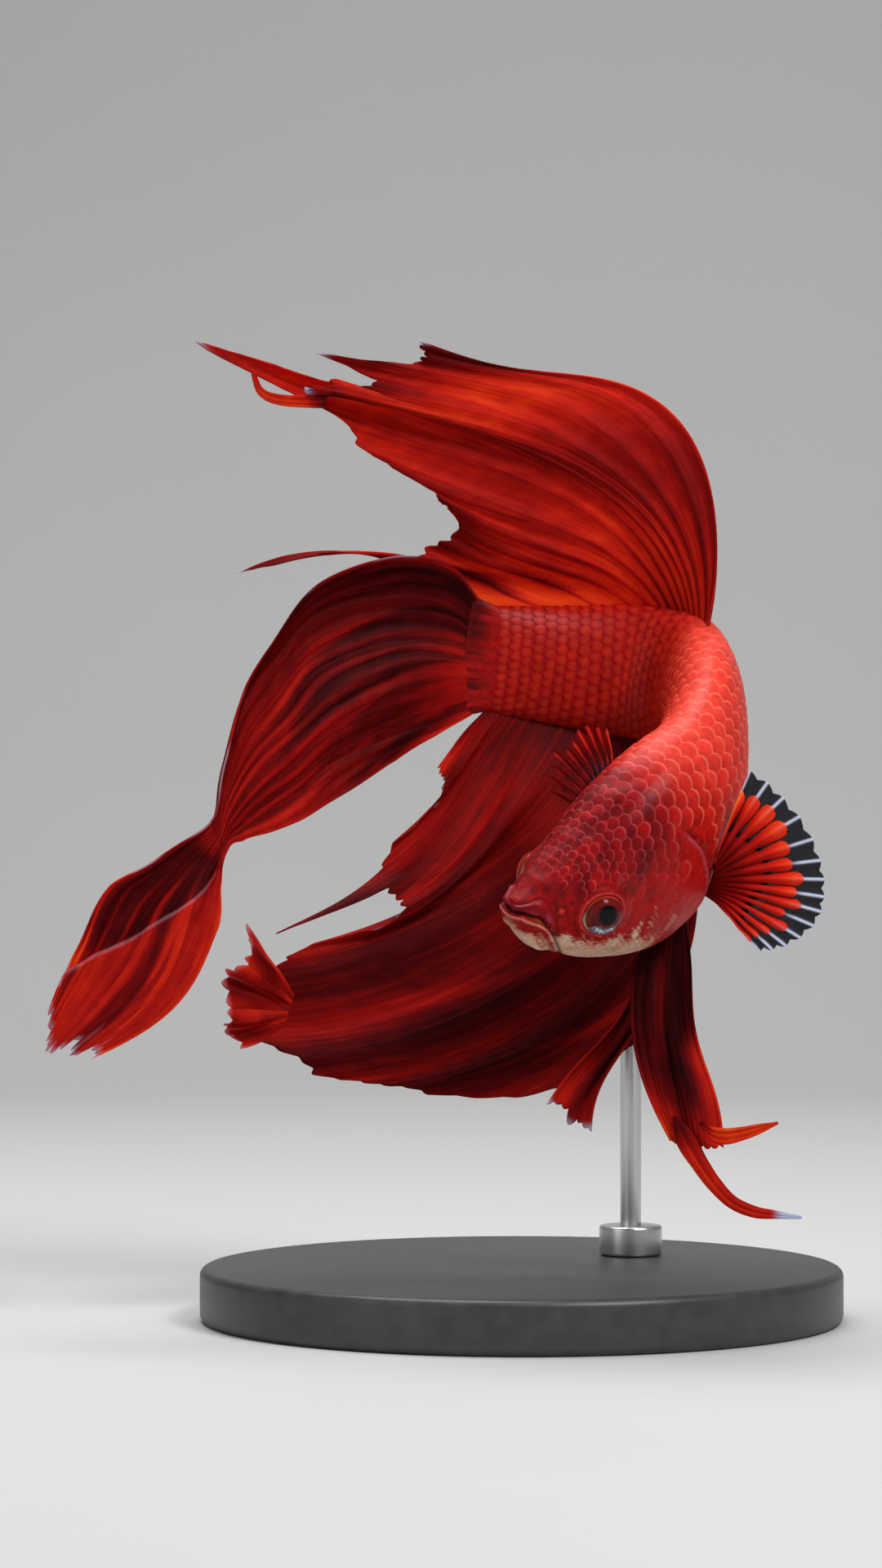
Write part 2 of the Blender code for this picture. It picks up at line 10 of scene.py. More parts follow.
import bpy
import numpy as np
from numpy import (arange, array, clip, concatenate, cos, cross, cumsum, exp, gradient, interp, linspace,
    maximum, meshgrid, minimum, radians, sin, stack, where)
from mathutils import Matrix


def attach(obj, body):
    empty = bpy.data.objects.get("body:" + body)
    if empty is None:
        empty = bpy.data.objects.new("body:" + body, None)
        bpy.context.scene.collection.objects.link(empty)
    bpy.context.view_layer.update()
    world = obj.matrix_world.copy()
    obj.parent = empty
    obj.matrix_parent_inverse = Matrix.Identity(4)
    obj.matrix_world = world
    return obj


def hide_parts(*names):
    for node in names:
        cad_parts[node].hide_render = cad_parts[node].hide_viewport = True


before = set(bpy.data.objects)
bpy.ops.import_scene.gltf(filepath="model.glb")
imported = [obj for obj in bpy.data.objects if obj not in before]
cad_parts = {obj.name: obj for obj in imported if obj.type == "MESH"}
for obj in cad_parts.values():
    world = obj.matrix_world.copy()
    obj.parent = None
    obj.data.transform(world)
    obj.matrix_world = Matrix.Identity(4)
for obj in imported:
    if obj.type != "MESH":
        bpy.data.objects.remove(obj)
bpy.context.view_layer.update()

MM = 0.001
TAU = 2 * math.pi
COAT_DEPTH = 0.12          # the skin lies this deep under the scales' outline
ROUTE_STEPS = 400
RAY_STEPS = 60

# ---- tables of the body and the fins, as the solids have them ----

BACKBONE = ((-1, -21, 31), (4, -17, 33), (8.5, -13, 35.5), (12, -8.5, 39), (13.5, -3, 43.5), (13, 3, 47),
    (9.5, 6.5, 48.5), (4, 6.5, 49), (-2, 5, 49.5))
# place, half width, height above, height below, roll in degrees
SECTIONS = ((0, 1.2, 1, 1.1, 26), (0.04, 2.1, 2.2, 3.3, 26), (0.11, 3.4, 4.3, 5.5, 26),
    (0.2, 4.3, 6.7, 7, 25), (0.29, 4.5, 7.6, 7.3, 22), (0.4, 4, 7.2, 6.8, 15), (0.52, 3.3, 6.4, 6.2, 6),
    (0.65, 3, 5.7, 5.6, 0), (0.8, 2.5, 5.1, 5.2, -3), (0.92, 1.8, 4.5, 4.6, -3), (1, 1.1, 4.1, 4.1, -3))
HEAD_SQUARENESS = 2.6
SQUARE_FADE = (0.17, 0.41)
BODY_LENGTH = 51
MOUTH_LENGTH = 4.6         # along the slit from its middle to a corner
LIP_END = 3.4              # the lips' rolls end ahead of the corner
LIPS_FROM = 3.3            # the point behind the snout that the lips swell away from
MOUTH_SLOPE = 1.1
EYE_PLACE = 0.108
EYE_OUT = 3
EYE_UP = -0.3
EYE_RADIUS = 1.55
EYE_BULGE = 1.3
EYE_SET = 0.4              # the eye's rim above the middle of its socket
EYE_AHEAD = 0.42           # how far the eye looks forward, as the tangent of the angle

# base place, length, web, four headings in degrees, three depths
DORSAL_RAYS = (
    (0.655, 37.6, 0.97, 75, 107, 173, 158, 3, 4.5, 2),
    (0.685, 39.2, 0.83, 88, 134, 168, 166, 3.5, 3, 0),
    (0.71, 36, 0.96, 97, 145, 166, 167, 3.5, 2, -1),
    (0.735, 42.7, 0.71, 112, 152, 162, 157, 4, 2, -3),
    (0.765, 20.6, 1, 125, 158, 159, 150, 5, 4, 2.5),
    (0.82, 14.4, 1, 152, 161, 162, 152, 6.3, 5.8, 5.2),
    (0.975, 22.4, 0.4, 178, 148, 182, 211, 6.5, 5.5, 3.5),
)
ANAL_RAYS = (
    (1, 6, 1, 222, 228, 232, 238, 4.8, 4.2, 3.5),
    (0.98, 9, 1, 228, 234, 236, 238, 4.4, 3.4, 2.6),
    (0.955, 25.8, 0.64, 232, 239, 210, 203, 3.5, 1, -1),
    (0.9, 18.5, 0.97, 240, 238, 228, 206, 4, 1.5, -0.5),
    (0.81, 31, 0.97, 241, 223, 206, 188, 3.8, 1, -1.5),
    (0.72, 41, 1, 253, 224, 200, 176, 3, 0.5, -2),
    (0.63, 40.3, 0.97, 268, 230, 203, 185, 1.6, 0.5, -1.5),
    (0.55, 33.5, 0.97, 270, 244, 211, 189, 0, -0.5, -1),
    (0.47, 17, 1, 272, 265, 250, 232, -2, -2.5, -3),
)
CORNER_RAYS = (
    (0, 6.3, 1, 118, 120, 124, 122, -4.6, -5.2, -5.2),
    (0.2, 4.6, 1, 134, 138, 140, 132, -4.8, -5.6, -6),
    (0.4, 5.6, 1, 150, 150, 156, 160, -4.4, -4.6, -4.2),
    (0.6, 4.4, 1, 170, 172, 178, 186, -4.8, -5.4, -5.8),
    (0.8, 4.8, 1, 190, 194, 190, 180, -4.4, -4.6, -4.4),
    (1, 3.6, 1, 214, 206, 200, 190, -4.6, -5, -5.2),
)
PECTORAL_RAYS = (
    (0, 7.2, 1, 74, 70, 68, 66, -13, -13.4, -13.6),
    (0.17, 7.2, 1, 50, 45, 43, 41, -13.3, -13.9, -14.2),
    (0.33, 7.6, 1, 22, 17, 15, 13, -13.5, -14.3, -14.9),
    (0.5, 8, 1, 0, -3, -4, -5, -13.6, -14.5, -15.2),
    (0.67, 7.9, 1, -14, -17, -19, -21, -13.5, -14.3, -15),
    (0.83, 6.8, 1, -28, -33, -36, -39, -13.2, -13.8, -14.3),
    (1, 5.5, 1, -40, -46, -49, -51, -12.8, -13.2, -13.5),
)
FAR_PECTORAL_RAYS = (
    (0, 7.4, 1, 84, 94, 98, 100, -6.5, -3.5, -1),
    (0.33, 8.6, 1, 100, 110, 116, 120, -6.2, -3.2, -0.5),
    (0.67, 9.5, 1, 116, 127, 134, 140, -6, -3, -0.5),
    (1, 8.5, 1, 132, 144, 152, 158, -6, -3, -1),
)
PELVIC_RAYS = (
    (0, 17.6, 1, 235, 262, 285, 304, -9.5, -10.2, -10.7),
    (0.25, 17.4, 1, 246, 266, 283, 294, -9.3, -10, -10.5),
    (0.5, 17, 1, 259, 268, 281, 284, -9.1, -9.8, -10.3),
    (0.75, 17.2, 1, 269, 271, 285, 274, -8.8, -9.7, -10.3),
    (1, 17.3, 1, 284, 271, 290, 270, -8.6, -9.6, -10.2),
)
TRAIL_ROUTE = ((10.9, -10.7, 15.9), (11.9, -10.9, 13.9), (12.8, -11, 12.4), (13.8, -11, 11),
    (15.1, -11, 9.7), (16.7, -11, 9), (18.2, -11, 8.8), (20.1, -11, 8.6))
TRAIL_SECTIONS = ((0, 0.3, 26, 0, 0), (0.14, 1.4, 30, 0, 0), (0.3, 1.2, 34, 0, 0), (0.57, 0.9, 52, 0, 0),
    (0.75, 0.75, 80, 0, 0), (1, 0.15, 88, 0, 0))
HORN_ROUTE = ((12.8, -11.3, 15.6), (13.5, -11.4, 14.75), (14.6, -11.5, 14.5), (15.8, -11.5, 14.7),
    (16.9, -11.4, 15), (18.4, -11.3, 15.5))
HORN_SECTIONS = ((0, 0.3, 220, -30, 0, 30), (0.3, 1.2, 262, -40, 0, 40), (0.7, 0.8, 280, -30, 0, 30),
    (1, 0.1, 290, 0, 0, 0))
FAR_PELVIC_RAYS = (
    (0, 18.3, 0.97, 255, 260, 226, 238, -6.5, -6, -6.5),
    (0.5, 19, 0.95, 258, 262, 234, 244, -6.5, -6, -6.8),
    (1, 18.6, 1, 262, 262, 234, 270, -6.5, -6, -6.5),
)
CAUDAL_ROUTE = ((-2.95, 4.9, 49.4), (-5.9, 3.9, 50), (-9.8, 2.4, 49.5), (-14.6, 0.2, 47.4),
    (-17.6, -1, 44.4), (-20, -1.7, 41.8), (-21.8, -2.3, 38.4), (-22.6, -2.7, 36.1), (-24.8, -3.4, 33.3),
    (-26.7, -4, 30.7), (-29.3, -5, 25.9), (-34.1, -5.5, 20.7))
# place, width, the way from lower to upper edge in degrees, and headings across it, evenly spaced
CAUDAL_SECTIONS = ((0, 7.9, 85, 0, 0, 0, 0, 0), (0.065, 13, 85, 0, 10, -10, 10, 20),
    (0.15, 16, 92, 0, 15, -15, 10, 45), (0.27, 17, 100, -10, 15, -15, 10, 70),
    (0.36, 15.2, 102, -10, 20, -20, 10, 80), (0.44, 12.2, 104, -10, 25, -20, 15, 90),
    (0.52, 7, 108, 0, 30, -10, 30, 100), (0.58, 3.4, 121, 20, 40, 20, 40, 90),
    (0.655, 5.4, 158, 30, 20, 0, 20, 60), (0.725, 9.2, 161, 30, 10, -20, 20, 50),
    (0.845, 9, 146, 20, 0, -20, 20, 50), (1, 4, 128, 10, 0, 0, 10, 20))
CAUDAL_SPLIT = 0.584       # where the tail fin's lobe begins
STREAMER_ROUTE = ((-14.5, -0.6, 68.5), (-17.8, -0.8, 68.6), (-19.4, -1, 69.2), (-20, -1.2, 70.6))
STREAMER_SECTIONS = ((0, 0.9, 88, 0, 0), (0.6, 0.7, 80, 0, 0), (1, 0.3, 25, 0, 0))

# ---- curves and fields ----

def smooth(keys, t):
    """Cubic through evenly spaced keys; the slope at a key is half the step between its neighbours."""
    keys = np.asarray(keys, float)
    last = len(keys) - 1
    x = clip(np.asarray(t, float), 0, 1) * last
    k = minimum(x.astype(int), last - 1)
    f = (x - k).reshape(x.shape + (1,) * (keys.ndim - 1))
    slopes = gradient(keys, axis=0)
    return (keys[k] * (1 + 2 * f) * (1 - f) ** 2 + slopes[k] * f * (1 - f) ** 2
        + keys[k + 1] * f * f * (3 - 2 * f) - slopes[k + 1] * f * f * (1 - f))


def smooth_table(rows, place):
    """A table's columns read smoothly at given places; its first column is the rows' place."""
    rows = np.asarray(rows, float)
    return smooth(rows[:, 1:], interp(place, rows[:, 0], linspace(0, 1, len(rows))))


def size(vectors):
    """Length of each vector."""
    return np.linalg.norm(vectors, axis=-1)


def unit(vectors):
    """Vectors divided by their length."""
    return vectors / maximum(size(vectors), 1e-12)[..., None]


def ease(start, end, x):
    """0 up to start, 1 from end (start may be the higher), and 3t^2 - 2t^3 between."""
    t = clip((x - start) / (end - start), 0, 1)
    return t * t * (3 - 2 * t)


def hill(x, middle, width):
    """A bell: exp(-((x - middle) / width)^2)."""
    return exp(-(((x - middle) / width) ** 2))


def off_whole(x):
    """Distance to the nearest whole number."""
    return np.abs(x - np.round(x))


def wander(seed, *axes):
    """An irregular field, about -1 to 1: seven sine waves in seeded directions, added."""
    chance = np.random.default_rng(seed)
    total = 0
    for _ in range(7):
        turns = chance.normal(size=len(axes))
        wave = sum(turn * axis for turn, axis in zip(turns, axes))
        total = total + sin(wave + chance.uniform(0, TAU))
    return total / 2.6


def along(route, place):
    """Points at fractions of a smooth route's length, and its direction there."""
    fine = smooth(route, linspace(0, 1, ROUTE_STEPS))
    length = cumsum(size(np.diff(fine, axis=0, prepend=fine[:1])))
    length = length / length[-1]
    points, heading = (stack([interp(place, length, line) for line in lines.T], -1)
        for lines in (fine, gradient(fine, length, axis=0)))
    return points, unit(heading)


def body_frame(place):
    """Centre, forward, left and up of the body at places along the backbone."""
    centre, backward = along(BACKBONE, place)
    forward = -backward
    level = unit(array((0, 0, 1)) - forward * forward[..., 2:3])
    roll = radians(smooth_table(SECTIONS, place)[..., 3:4])
    up = level * cos(roll) + cross(level, forward) * sin(roll)
    return centre, forward, cross(up, forward), up


def body_point(place, angle, lift=0):
    """Point of the body's outline, a squared oval: place along it, angle round it (0 top, 90 left)."""
    centre, _, left, up = body_frame(place)
    half, above, below, _ = np.moveaxis(smooth_table(SECTIONS, place), -1, 0)
    power = 2 / interp(place, SQUARE_FADE, (HEAD_SQUARENESS, 2))
    out, rise = (np.sign(x) * np.abs(x) ** power for x in (sin(angle), cos(angle)))
    tall = rise * (where(rise > 0, above, below) + lift)
    return centre + left * (out * (half + lift))[..., None] + up * tall[..., None]


def outwards(place, angle):
    """The body's outward direction: the cross product of its slopes along and round it."""
    ahead, after = (body_point(clip(place + step, 0, 1), angle) for step in (0.004, -0.004))
    turned = body_point(place, angle + 0.03) - body_point(place, angle - 0.03)
    normal = unit(cross(turned, ahead - after))
    away = body_point(place, angle) - body_frame(place)[0]
    sign = np.sign(np.sum(normal * away, axis=-1, keepdims=True))
    return normal * where(sign == 0, 1, sign)


# ---- making meshes ----

def make(name, nodes, material, points, blocks, values, bake_map=None, sharp=None):
    """A mesh piece from points in millimetres and blocks of faces of equal corner counts; values
    holds named numbers, paint or places of the points."""
    mesh = bpy.data.meshes.new(name)
    mesh.vertices.add(points.size // 3)
    mesh.vertices.foreach_set("co", (points * MM).astype(np.float32).ravel())
    sizes = concatenate([np.full(len(block), block.shape[1]) for block in blocks])
    corners = concatenate([block.ravel() for block in blocks]).astype(np.int32)
    mesh.loops.add(len(corners))
    mesh.loops.foreach_set("vertex_index", corners)
    mesh.polygons.add(len(sizes))
    mesh.polygons.foreach_set("loop_start", (cumsum(sizes) - sizes).astype(np.int32))
    mesh.update(calc_edges=True)
    mesh.validate()
    mesh.shade_smooth()
    for key, value in values.items():
        kind, field = ("FLOAT", "value") if value.ndim == 1 else ("FLOAT_VECTOR", "vector")
        if key == "paint":
            kind, field = "FLOAT_COLOR", "color"
            value = np.pad(value, ((0, 0), (0, 1)), constant_values=1)
        layer = mesh.attributes.new(key, kind, "POINT")
        layer.data.foreach_set(field, value.astype(np.float32).ravel())
    if bake_map is not None:
        layer = mesh.uv_layers.new(name="OFBake")
        layer.uv.foreach_set("vector", bake_map[corners].astype(np.float32).ravel())
    if sharp is not None:
        mesh.set_sharp_from_angle(angle=math.radians(sharp))
    mesh.materials.append(material)
    piece = placed(name, mesh)
    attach(piece, "root")
    if nodes:
        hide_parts(*nodes)


def placed(name, data):
    """A new object of some data, in the scene."""
    thing = bpy.data.objects.new(name, data)
    bpy.context.scene.collection.objects.link(thing)
    return thing


def grid_faces(number):
    """Four-cornered faces between neighbours of a grid of point numbers."""
    return stack((number[:-1, :-1], number[1:, :-1], number[1:, 1:], number[:-1, 1:]),
        axis=-1).reshape(-1, 4)


def ring_numbers(count, sides):
    """Numbers of rings of points, each ring's first again at its end."""
    number = arange(count * sides).reshape(count, sides)
    return np.column_stack((number, number[:, 0]))


def cap_faces(tip, ring):
    """Triangles from one point to each edge of a ring."""
    return stack((np.full(len(ring) - 1, tip), ring[:-1], ring[1:]), axis=-1)


def sheet(name, node, material, middle, thick, across, out_mm, tone, tip, **more):
    """A closed thin web: two grids half a thickness either side of the middle, along the cross
    product of its slopes, joined round their edges. out_mm is the distance out along it."""
    rows, columns = middle.shape[:2]
    ones = np.ones((rows, columns))
    shift = lifted(0 * middle, thick * ones / 2, middle)
    front = arange(rows * columns).reshape(rows, columns)
    back = front + rows * columns
    rims = [grid_faces(stack((front[edge], back[edge])))
        for edge in (np.s_[:, 0], np.s_[::-1, -1], np.s_[0, ::-1], np.s_[-1])]
    u, v = meshgrid(linspace(0.01, 0.49, rows), linspace(0.01, 0.99, columns), indexing="ij")
    flat = stack((u, v, 1 - u, v), axis=-1).reshape(-1, 2, 2).swapaxes(0, 1).reshape(-1, 2)
    width = size(np.diff(middle, axis=0)).sum(0).mean()
    place = stack((across * width * ones, out_mm * ones, 0 * ones), -1)
    values = {"tone": tone * ones, "tip": tip * ones, "web": place, **more}
    both = {key: concatenate([value.reshape(-1, *value.shape[2:])] * 2) for key, value in values.items()}
    make(name, (node,), material, stack((middle + shift, middle - shift)),
        [grid_faces(front), grid_faces(back)[:, ::-1], *rims], both, flat)


# ---- materials ----

def node_maker(name):
    """A new material's maker of nodes, with their settings and their sockets set or linked. It
    gives back an output, or the material for the node that has none."""
    material = bpy.data.materials.new(name)
    material.use_nodes = True
    tree = material.node_tree
    tree.nodes.clear()

    def add(kind, inputs, output=0, **settings):
        node = tree.nodes.new("ShaderNode" + kind)
        for key, value in settings.items():
            setattr(node, key, value)
        for key, value in inputs.items():
            if isinstance(value, bpy.types.NodeSocket):
                tree.links.new(value, node.inputs[key])
            else:
                node.inputs[key].default_value = value
        return node.outputs[output] if node.outputs else material

    return add


def ramp(add, factor, stops):
    """A colour read from a row of stops, each a position and a colour."""
    colour = add("ValToRGB", {"Fac": factor})
    line = colour.node.color_ramp
    while len(line.elements) < len(stops):
        line.elements.new(0.5)
    for element, (position, shade) in zip(line.elements, stops):
        element.position, element.color = position, (*shade, 1)
    return colour


def web_material(name, glow, streak, mottle, *stops):
    """Fin web: its tone runs through the stops, streaked along the rays and mottled, its tips
    bluish white. Light glows through it, or else it's solid only where its points say so."""
    add = node_maker(name)
    tone, tip, solid = (add("Attribute", {}, "Fac", attribute_name=key) for key in ("tone", "tip", "solid"))
    place = add("Attribute", {}, "Vector", attribute_name="web")
    drawn, thin = (add("Mapping", {"Vector": place, "Scale": stretch})
        for stretch in ((1.7, 0.13, 1), (6, 0.35, 1)))
    coarse = add("TexNoise", {"Vector": drawn, "Scale": 1, "Detail": 5, "Roughness": 0.6, "Distortion": 0.3})
    fine = add("TexNoise", {"Vector": thin, "Scale": 1, "Detail": 3})
    patch = add("TexNoise", {"Vector": place, "Scale": 0.55, "Detail": 4})
    total = add("Math", {0: tone, 1: streak * 0.75 + mottle * 0.5}, operation="SUBTRACT")
    for noise, share in ((coarse, streak), (fine, streak * 0.5), (patch, mottle)):
        total = add("Math", {0: noise, 1: share, 2: total}, operation="MULTIPLY_ADD")
    colour = add("Mix", {0: tip, 6: ramp(add, total, stops), 7: (0.62, 0.66, 0.85, 1)}, 2, data_type="RGBA")
    bump = add("Bump", {"Height": fine, "Strength": 0.35, "Distance": 0.00006})
    shader = add("BsdfPrincipled", {"Base Color": colour, "Roughness": 0.55, "Specular IOR Level": 0.05,
        "Normal": bump, **({} if glow else {"Alpha": solid})})
    if glow:
        through = add("BsdfTranslucent", {"Color": colour, "Normal": bump})
        shader = add("MixShader", {0: glow, 1: shader, 2: through})
    return add("OutputMaterial", {0: shader})


def painted_material(name, roughness, speckle, specular, grain=2600, bump_depth=0.00002):
    """Skin, scales or an eye: the colour painted on its points, broken by fine specks."""
    add = node_maker(name)
    paint = add("Attribute", {}, "Color", attribute_name="paint")
    noise = add("TexNoise", {"Vector": add("TexCoord", {}, "Object"), "Scale": grain, "Detail": 4,
        "Roughness": 0.65})
    level = add("MapRange", {"Value": noise, "From Min": 0.3, "From Max": 0.7, "To Min": 1 - speckle,
        "To Max": 1 + speckle * 0.6})
    shade = add("CombineColor", {0: level, 1: level, 2: level})
    colour = add("Mix", {0: 1, 6: paint, 7: shade}, 2, data_type="RGBA", blend_type="MULTIPLY")
    bump = add("Bump", {"Height": noise, "Strength": 0.5, "Distance": bump_depth})
    return add("OutputMaterial", {0: add("BsdfPrincipled", {
        "Base Color": colour, "Roughness": roughness, "Normal": bump, "Specular IOR Level": specular})})


def plain_material(name, colour, roughness, scale, change, metallic=0, stretch=(1, 1, 1)):
    """A plain finish, a little uneven in its colour and gloss."""
    add = node_maker(name)
    drawn = add("Mapping", {"Vector": add("TexCoord", {}, "Object"), "Scale": stretch})
    noise = add("TexNoise", {"Vector": drawn, "Scale": scale, "Detail": 4})
    low, high = (tuple(min(1, c * (1 + part)) for c in colour) for part in (-change, change))
    rough = add("MapRange", {"Value": noise, "To Min": roughness - 0.05, "To Max": roughness + 0.06})
    shade = ramp(add, noise, ((0.3, low), (0.7, high)))
    return add("OutputMaterial", {0: add("BsdfPrincipled", {
        "Base Color": shade, "Roughness": rough, "Metallic": metallic})})


# ---- the skin ----

# The gill cover's rear edge: angle from the top of the head, and its place along the backbone.
GILL_EDGE = ((0, 0.238), (55, 0.238), (66, 0.248), (74, 0.258), (84, 0.275), (98, 0.289), (112, 0.294),
    (126, 0.287), (140, 0.262), (155, 0.222), (170, 0.19), (180, 0.18))
GILL_RING = 0.27           # the ring that is bent on to that edge
NOSTRIL, NOSTRIL_PIT = (0.052, 88), (0.066, 80)      # place, degrees from the top

CRIMSON, DEEP_RED, RED = (0.13, 0.002, 0.005), (0.27, 0.003, 0.004), (0.44, 0.006, 0.005)
ORANGE_RED, SALMON, PINK = (0.66, 0.022, 0.01), (0.74, 0.06, 0.038), (0.62, 0.095, 0.115)
CREAM, DARK = (0.72, 0.5, 0.36), (0.07, 0.002, 0.003)


def from_top(angle):
    """Degrees from the top of the body, 0 to 180, alike on both sides."""
    return np.abs((np.degrees(angle) + 180) % 360 - 180)


def gill_edge(angle):
    """Place of the gill cover's edge at an angle round the head."""
    return smooth_table(GILL_EDGE, from_top(angle))[..., 0]


def mouth_place(points):
    """Of points of the snout: distance along the mouth from its middle, distance below its arched
    slit, and how far out of the upper lip's oval they are (1 on its edge)."""
    snout, forward, left, up = body_frame(array(0))
    away = points - snout
    back = -away @ forward
    gone = np.hypot(back, away @ left)
    below = (-away @ up - MOUTH_SLOPE * back) / math.hypot(1, MOUTH_SLOPE) + 0.75 * hill(gone, 2.2, 1.25)
    grown = 0.42 + 0.58 * ease(0.4, 2.1, gone)
    return gone, below, np.hypot((gone - 1.25) / 1.75, (below / grown + 0.5) / 0.6)


def fading(gone, end):
    """1 ahead of a distance along the mouth and 0 past it: 1 / (1 + exp(3.4 x))."""
    return 1 / (1 + exp(clip((gone - end) * 3.4, -30, 30)))


def lips(points):
    """Points pushed out or in by steps and bells of mouth_place: an oval upper lip, a crease round
    it, the slit, a lower lip and the chin."""
    gone, below, oval = mouth_place(points)
    lip = fading(gone, LIP_END)
    push = 0.2 * ease(1.05, 0.45, oval) - 0.07 * hill(oval, 1.2, 0.14) + 0.07 * hill(oval, 0.7, 0.2)
    push = push * ease(0, -0.15, below) * (0.5 + 0.5 * ease(0, 1.3, gone))
    push = push + 0.2 * hill(below, 0.3, 0.22) * lip * (below > 0)
    push = push + 0.32 * hill(below, 1.3, 0.6) * fading(gone, LIP_END - 0.4)
    push = push - (0.14 + 0.22 * lip) * hill(below, 0, 0.13) * fading(gone, MOUTH_LENGTH)
    snout, forward, _, _ = body_frame(array(0))
    return points + unit(points - (snout - forward * LIPS_FROM)) * push[..., None]


def eye_frame(side):
    """An eye's middle, the way it looks, and its own down and ahead; side 1 is the left."""
    centre, forward, left, up = body_frame(array(EYE_PLACE))
    axis = unit(left * side + forward * EYE_AHEAD + up * 0.06)
    down = unit(array((0, 0, -1)) + axis * axis[2])
    return centre + left * EYE_OUT * side + up * EYE_UP, axis, down, cross(down, axis) * side


def eye_distance(points):
    """Distance of points of the head from the nearer eye's axis."""
    nearest = 99
    for side in (1, -1):
        middle, axis, _, _ = eye_frame(side)
        high = (points - middle) @ axis
        out = size(points - middle - high[..., None] * axis)
        nearest = minimum(nearest, where(high > -1.6, out, 99))
    return nearest


def spot_distance(points, place, degrees):
    """Distance from the nearer of two mirrored spots at a place and angle of the head."""
    spots = [body_point(array(place), radians(degrees * side), -COAT_DEPTH) for side in (1, -1)]
    return minimum(*(size(points - spot) for spot in spots))


def relief(place, angle, points):
    """Height of the skin's forms, by steps and bells: the gill cover over the flank behind it, a
    crease round the cheek, a fold and a bowl round each eye, the nostril's knob and pit."""
    turn = from_top(angle)
    behind = (place - gill_edge(angle)) * BODY_LENGTH
    cover = where(behind < 0, 0.3 * exp(minimum(behind, 0) / 2.6), -0.16 * exp(-maximum(behind, 0) / 1.3))
    cheek = place * BODY_LENGTH - (8.1 + 1.2 * cos((turn - 100) / 30))
    out, knob = eye_distance(points), spot_distance(points, *NOSTRIL)
    return ((cover + 0.05 * hill(behind, -0.22, 0.16)) * ease(60, 74, turn) * ease(172, 158, turn)
        - 0.09 * hill(cheek, 0, 0.32) * ease(72, 84, turn) * ease(142, 128, turn)
        + 0.52 * ease(2.8, 1.6, out) - 1.1 * ease(1.52, 1.34, out) - 0.06 * hill(out, 2.12, 0.14)
        + 0.17 * hill(knob, 0, 0.27) - 0.05 * hill(knob, 0.46, 0.12)
        - 0.14 * hill(spot_distance(points, *NOSTRIL_PIT), 0, 0.16)
        + 0.035 * wander(3, *np.moveaxis(points * 1.6, -1, 0)) * ease(0.3, 0.18, place))


def skin_point(place, angle, lift=0):
    """Point of the skin with its forms, lifted off it by some millimetres."""
    points = lips(body_point(place, angle, -COAT_DEPTH))
    return points + outwards(place, angle) * (relief(place, angle, points) + lift)[..., None]


def layered(colour, *coats):
    """A colour painted over by coats, each a colour and its share at every point."""
    for paint, share in coats:
        share = clip(share, 0, 1)[..., None]
        colour = colour * (1 - share) + np.asarray(paint) * share
    return colour


def marking(place, angle, points):
    """The markings of skin and scales alike: a crimson head, an orange-red front body with a salmon back
    that is painted light from above, a red tail half and a mottled cream chin, with shade painted behind the
    gill cover's edge, round the eyes and in the nostrils."""
    turn = from_top(angle)
    rough, small, tiny = (wander(seed, *np.moveaxis(points * often, -1, 0))
        for seed, often in ((11, 1.1), (12, 3.4), (13, 8)))
    back = ease(78, 15, turn) * ease(0.2, 0.36, place) * ease(0.72, 0.62, place)
    head = ease(0.27, 0.17, place + 0.01 * rough)
    crown = head * ease(95, 50, turn + 8 * rough)
    cheek = head * ease(85, 100, turn)
    edge = 116 + 6 * small + 4 * tiny + 14 * ease(0.15, 0.22, place) + 20 * ease(0.035, 0.01, place)
    chin = ease(0, 7, turn - edge) * ease(0.23, 0.195, place)
    specks = ease(0.25, 0.75, tiny + 0.35 * small) * chin * ease(30, 8, turn - edge)
    behind = (place - gill_edge(angle)) * BODY_LENGTH
    side = ease(62, 76, turn) * ease(172, 158, turn)
    streaks = ease(0.45, 0.8, wander(15, angle * 26, place * 34)) * hill(behind, 2.6, 1.9)
    out, knob = eye_distance(points), spot_distance(points, *NOSTRIL)
    return mouth_paint(layered(
        np.broadcast_to(RED, points.shape),
        (ORANGE_RED, 0.55 * ease(0.24, 0.36, place) * ease(0.7, 0.6, place)),
        # The salmon back is painted light from above.
        (SALMON, back * (0.75 + 0.2 * rough)),
        (DEEP_RED, 0.55 * ease(0.64, 0.74, place) + 0.15 * small),
        (DEEP_RED, 0.6 * head),
        (CRIMSON, 0.62 * crown + 0.35 * head * small),
        (RED, 0.6 * cheek * (0.5 + 0.5 * sin(place * 420 + 2 * rough))),
        (CREAM, chin * (0.86 + 0.1 * tiny)),
        ((0.42, 0.07, 0.02), 0.7 * specks),
        ((0.85, 0.35, 0.25), 0.6 * ease(0.9, 1.3, small + 0.6 * tiny) * cheek * (1 - chin)),
        (PINK, 0.6 * side * hill(behind, -0.16, 0.16)),
        # Painted shadow under the gill cover's edge.
        (DARK, 0.8 * side * hill(behind, 0.25, 0.35)),
        (DARK, 0.75 * streaks * ease(58, 70, turn) * ease(120, 104, turn)),
        ((0.62, 0.05, 0.045), 0.75 * hill(out, 1.7, 0.09)),
        # Painted shade in the crease round each eye and in the gap at its rim.
        (DARK, 0.51 * hill(out, 2.14, 0.13)),
        ((0.03, 0.002, 0.003), ease(1.56, 1.46, out)),
        ((0.75, 0.06, 0.03), 0.8 * hill(knob, 0, 0.24)),
        # Painted shade in the groove round the nostril's knob and in its pit.
        (DARK, 0.8 * hill(knob, 0.42, 0.1)),
        (DARK, 0.9 * hill(spot_distance(points, *NOSTRIL_PIT), 0, 0.14))), points, small)


